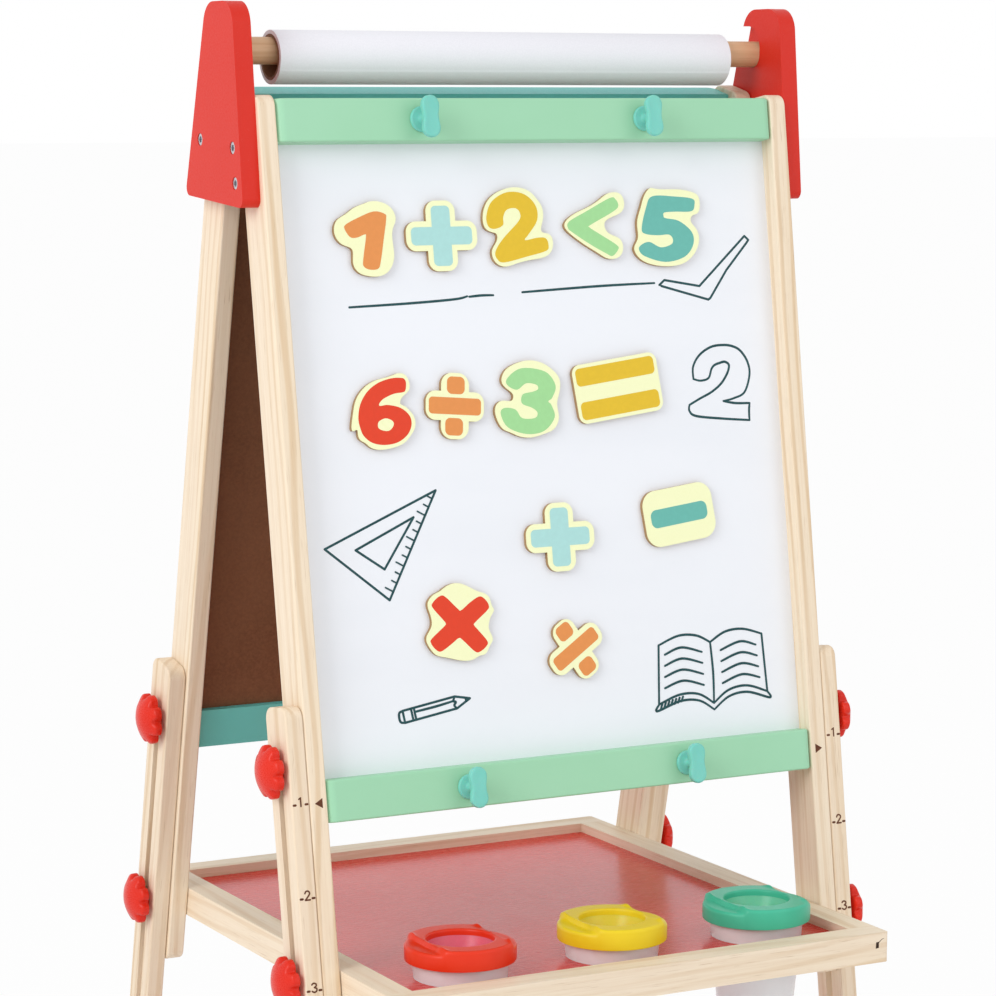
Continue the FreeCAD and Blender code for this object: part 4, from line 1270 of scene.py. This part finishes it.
@dataclass
class LegScale:
    """Height numbers on the front legs and the pointers beside them.

    Attributes:
        rows: Distance of each number below the top, by side.
        middle: Distance of the numbers from the centre line.
        digits: Strokes of each digit in a unit-high box.
    """

    rows: Dict[Side, Tuple[float, float, float]] = field(default_factory=lambda: {
        Side.LEFT: (502.7, 570.4, 637.1), Side.RIGHT: (493.8, 562.3, 630.4)})
    middle: float = 228.8
    height: float = 6.6
    digits: Tuple[Tuple[Tuple[Point, ...], ...], ...] = (
        (((-0.16, 0.3), (0.04, 0.5), (0.04, -0.5)),),
        (((-0.28, 0.26), (-0.16, 0.46), (0.1, 0.49), (0.27, 0.3), (0.2, 0.06), (-0.28, -0.48)),
         ((-0.28, -0.48), (0.3, -0.48))),
        (((-0.27, 0.36), (-0.08, 0.5), (0.2, 0.42), (0.24, 0.2), (0.02, 0.03)),
         ((0.02, 0.03), (0.28, -0.12), (0.24, -0.38), (-0.02, -0.5), (-0.28, -0.36))),
    )
    ink: Print = Print("scale_ink", tone(92, 48, 26), tone(116, 70, 44), 0.6)

    def build(self, wardrobe: Wardrobe) -> None:
        """Builds the numbers on the legs and the pointers on the uprights."""
        for side in Side:
            leg = "front_leg_" + side.name.lower()
            decal = Decal(Piece("scale_" + side.name.lower(), leg, "pine", self.ink), 0.0, 0.03)
            cx = self.middle * side.value
            for number, s in enumerate(self.rows[side]):
                for line in self.digits[number]:
                    shaped = line if number == 0 else curve_through(line, 6) if len(line) > 2 else line
                    decal.stroke([(cx + x * self.height, -s + z * self.height) for x, z in shaped],
                                 lambda u: 0.62)
                for way in (-1, 1):
                    decal.stroke([(cx + way * 3.9, -s - 2.2), (cx + way * 5.4, -s - 2.2)], lambda u: 0.85)
            decal.piece.build(wardrobe, 60.0)
            mark = Decal(Piece("pointer_" + side.name.lower(), "front_frame", "pine", self.ink), 0.0, 0.03)
            x = 214.4 * side.value
            mark.patch([(x + side.value * 3.2, -505.3), (x - side.value * 3.0, -501.6),
                        (x - side.value * 3.0, -509.0)])
            mark.piece.build(wardrobe, 60.0)


@dataclass
class Tray:
    """Lacquered tray panel and the peg hole in the front rail, drawn as a dark patch of painted shade.

    Attributes:
        hole: Place of the hole across and in height, and its half sizes.
    """

    hole: Tuple[float, float, float, float] = (196.5, 366.0, 1.4, 2.6)

    def build(self, wardrobe: Wardrobe) -> None:
        """Dresses the panel and lays a dark patch on the rail as painted shade of the hole, with its fine check in
        the same dark colour.
        """
        wardrobe.lay_node("tray_panel", TrayGloss("tray_lacquer", tone(216, 36, 22), tone(220, 48, 34)))
        low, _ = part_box("tray_front_rail")
        x, z, w, h = self.hole
        face = low.y - 0.04 * MM
        # hole_shade: a dark flat patch painted where the hole's shade falls; the check line uses the same dark
        # colour.
        piece = Piece("rail_peg_hole", "tray", "pine", Print("hole_shade", tone(52, 36, 26), tone(70, 48, 34), 0.8))
        corners = [(x - w, z - h), (x + w, z - h + 0.4), (x + w, z + h), (x - w + 0.3, z + h - 0.3)]
        piece.add([Vector((px * MM, face, pz * MM)) for px, pz in corners], [(0, 1, 2, 3)])
        crack = capsule([(x + w, z + h - 0.6), (x + w + 2.6, z + h + 1.6), (x + w + 4.6, z + h + 2.2)],
                        lambda u: 0.3 - 0.18 * u, False)
        piece.add([Vector((px * MM, face, pz * MM)) for px, pz in crack], [(0, 1, 4, 5), (1, 2, 3, 4)])
        piece.build(wardrobe, 60.0)


# ---------------------------------------------------------------- studio
@dataclass
class Studio:
    """Floor, soft light and camera.

    Attributes:
        spot: Camera place, in metres.
        pitch: Camera tilt from straight down, in degrees.
        yaw: Camera turn, in degrees.
        lens: Focal length on a 36 mm sensor.
        shift: Vertical shift of the view.
    """

    spot: Tuple[float, float, float] = (-1.16258, -2.19182, 0.99130)
    pitch: float = 78.43
    yaw: float = -28.06
    lens: float = 116.34
    shift: float = 0.2617
    ambient: float = 0.74

    def _seen(self, kit: Kit) -> Val:
        """1 for rays that show the backdrop itself."""
        path = kit.node("ShaderNodeLightPath")
        lit = kit.math("MAXIMUM", kit.out(path, "Is Camera Ray"), kit.out(path, "Is Glossy Ray"))
        return kit.math("MAXIMUM", lit, kit.out(path, "Is Transmission Ray"))

    def floor(self) -> None:
        """Builds the floor."""
        mesh = bpy.data.meshes.new("floor")
        size = 70.0
        mesh.from_pydata([(-size, -size, 0), (size, -size, 0), (size, size, 0), (-size, size, 0)], [],
                         [(0, 1, 2, 3)])
        obj = bpy.data.objects.new("floor", mesh)
        bpy.context.scene.collection.objects.link(obj)
        kit = Kit("pale_floor")
        cloud = kit.noise(kit.place(), 3.0, 2.0)
        base = kit.mix(cloud, (0.86, 0.86, 0.86), (0.9, 0.9, 0.9))
        ground = kit.node("ShaderNodeBsdfPrincipled", None, {"Base Color": base, "Roughness": 0.8})
        glow = kit.node("ShaderNodeEmission", None, {"Color": (1.0, 1.0, 1.0), "Strength": 1.0})
        both = kit.node("ShaderNodeMixShader", None, {0: self._seen(kit) * 0.94, 1: kit.out(ground),
                                                      2: kit.out(glow)})
        kit.node("ShaderNodeOutputMaterial", None, {"Surface": kit.out(both)})
        mesh.materials.append(kit.material)

    def world(self) -> None:
        """Sets the soft surrounding light."""
        scene = bpy.context.scene
        scene.world = bpy.data.worlds.new("studio")
        scene.world.use_nodes = True
        tree = scene.world.node_tree
        tree.nodes.clear()
        kit = Kit.__new__(Kit)
        kit.tree = tree
        level = self._seen(kit) * (1.0 - self.ambient) + self.ambient
        sky = kit.node("ShaderNodeBackground", None, {"Color": (1.0, 1.0, 1.0), "Strength": level})
        kit.node("ShaderNodeOutputWorld", None, {"Surface": kit.out(sky)})

    def lamp(self, name: str, place: Sequence[float], aim: Sequence[float], size: float, power: float) -> None:
        """Hangs one square soft lamp.

        Args:
            name: Lamp name.
            place: Where it hangs.
            aim: Where it points.
            size: Side of the lamp.
            power: Watts.
        """
        data = bpy.data.lights.new(name, "AREA")
        data.shape, data.size, data.energy = "SQUARE", size, power
        obj = bpy.data.objects.new(name, data)
        obj.location = place
        obj.rotation_euler = (Vector(aim) - Vector(place)).to_track_quat("-Z", "Y").to_euler()
        bpy.context.scene.collection.objects.link(obj)

    def camera(self) -> None:
        """Sets the camera at the viewing angle."""
        data = bpy.data.cameras.new("camera")
        data.sensor_width = 36.0
        data.lens = self.lens
        data.shift_y = self.shift
        data.clip_end = 100.0
        obj = bpy.data.objects.new("camera", data)
        obj.location = self.spot
        obj.rotation_euler = (math.radians(self.pitch), 0.0, math.radians(self.yaw))
        bpy.context.scene.collection.objects.link(obj)
        bpy.context.scene.camera = obj

    def build(self) -> None:
        """Builds the studio."""
        bpy.context.scene.view_settings.view_transform = "Standard"
        self.floor()
        self.world()
        self.lamp("key", (-3.0, -1.2, 2.2), (0, 0, 0.7), 1.6, 46.0)
        self.lamp("fill", (1.6, -2.8, 1.9), (0, 0, 0.7), 2.2, 14.0)
        self.camera()


def main() -> None:
    """Builds the easel around the frame, then the studio."""
    logging.basicConfig(level=logging.INFO, format="%(name)s %(message)s")
    wardrobe = Wardrobe()
    Timbers().dress(wardrobe)
    Panels().dress(wardrobe)
    Tray().build(wardrobe)
    Knobs().build(wardrobe)
    Clips().build(wardrobe)
    PaperRoll().build(wardrobe)
    Pots().build(wardrobe)
    Signs().build(wardrobe)
    Drawings().build(wardrobe)
    LegScale().build(wardrobe)
    Studio().build()


if __name__ == "__main__":
    main()
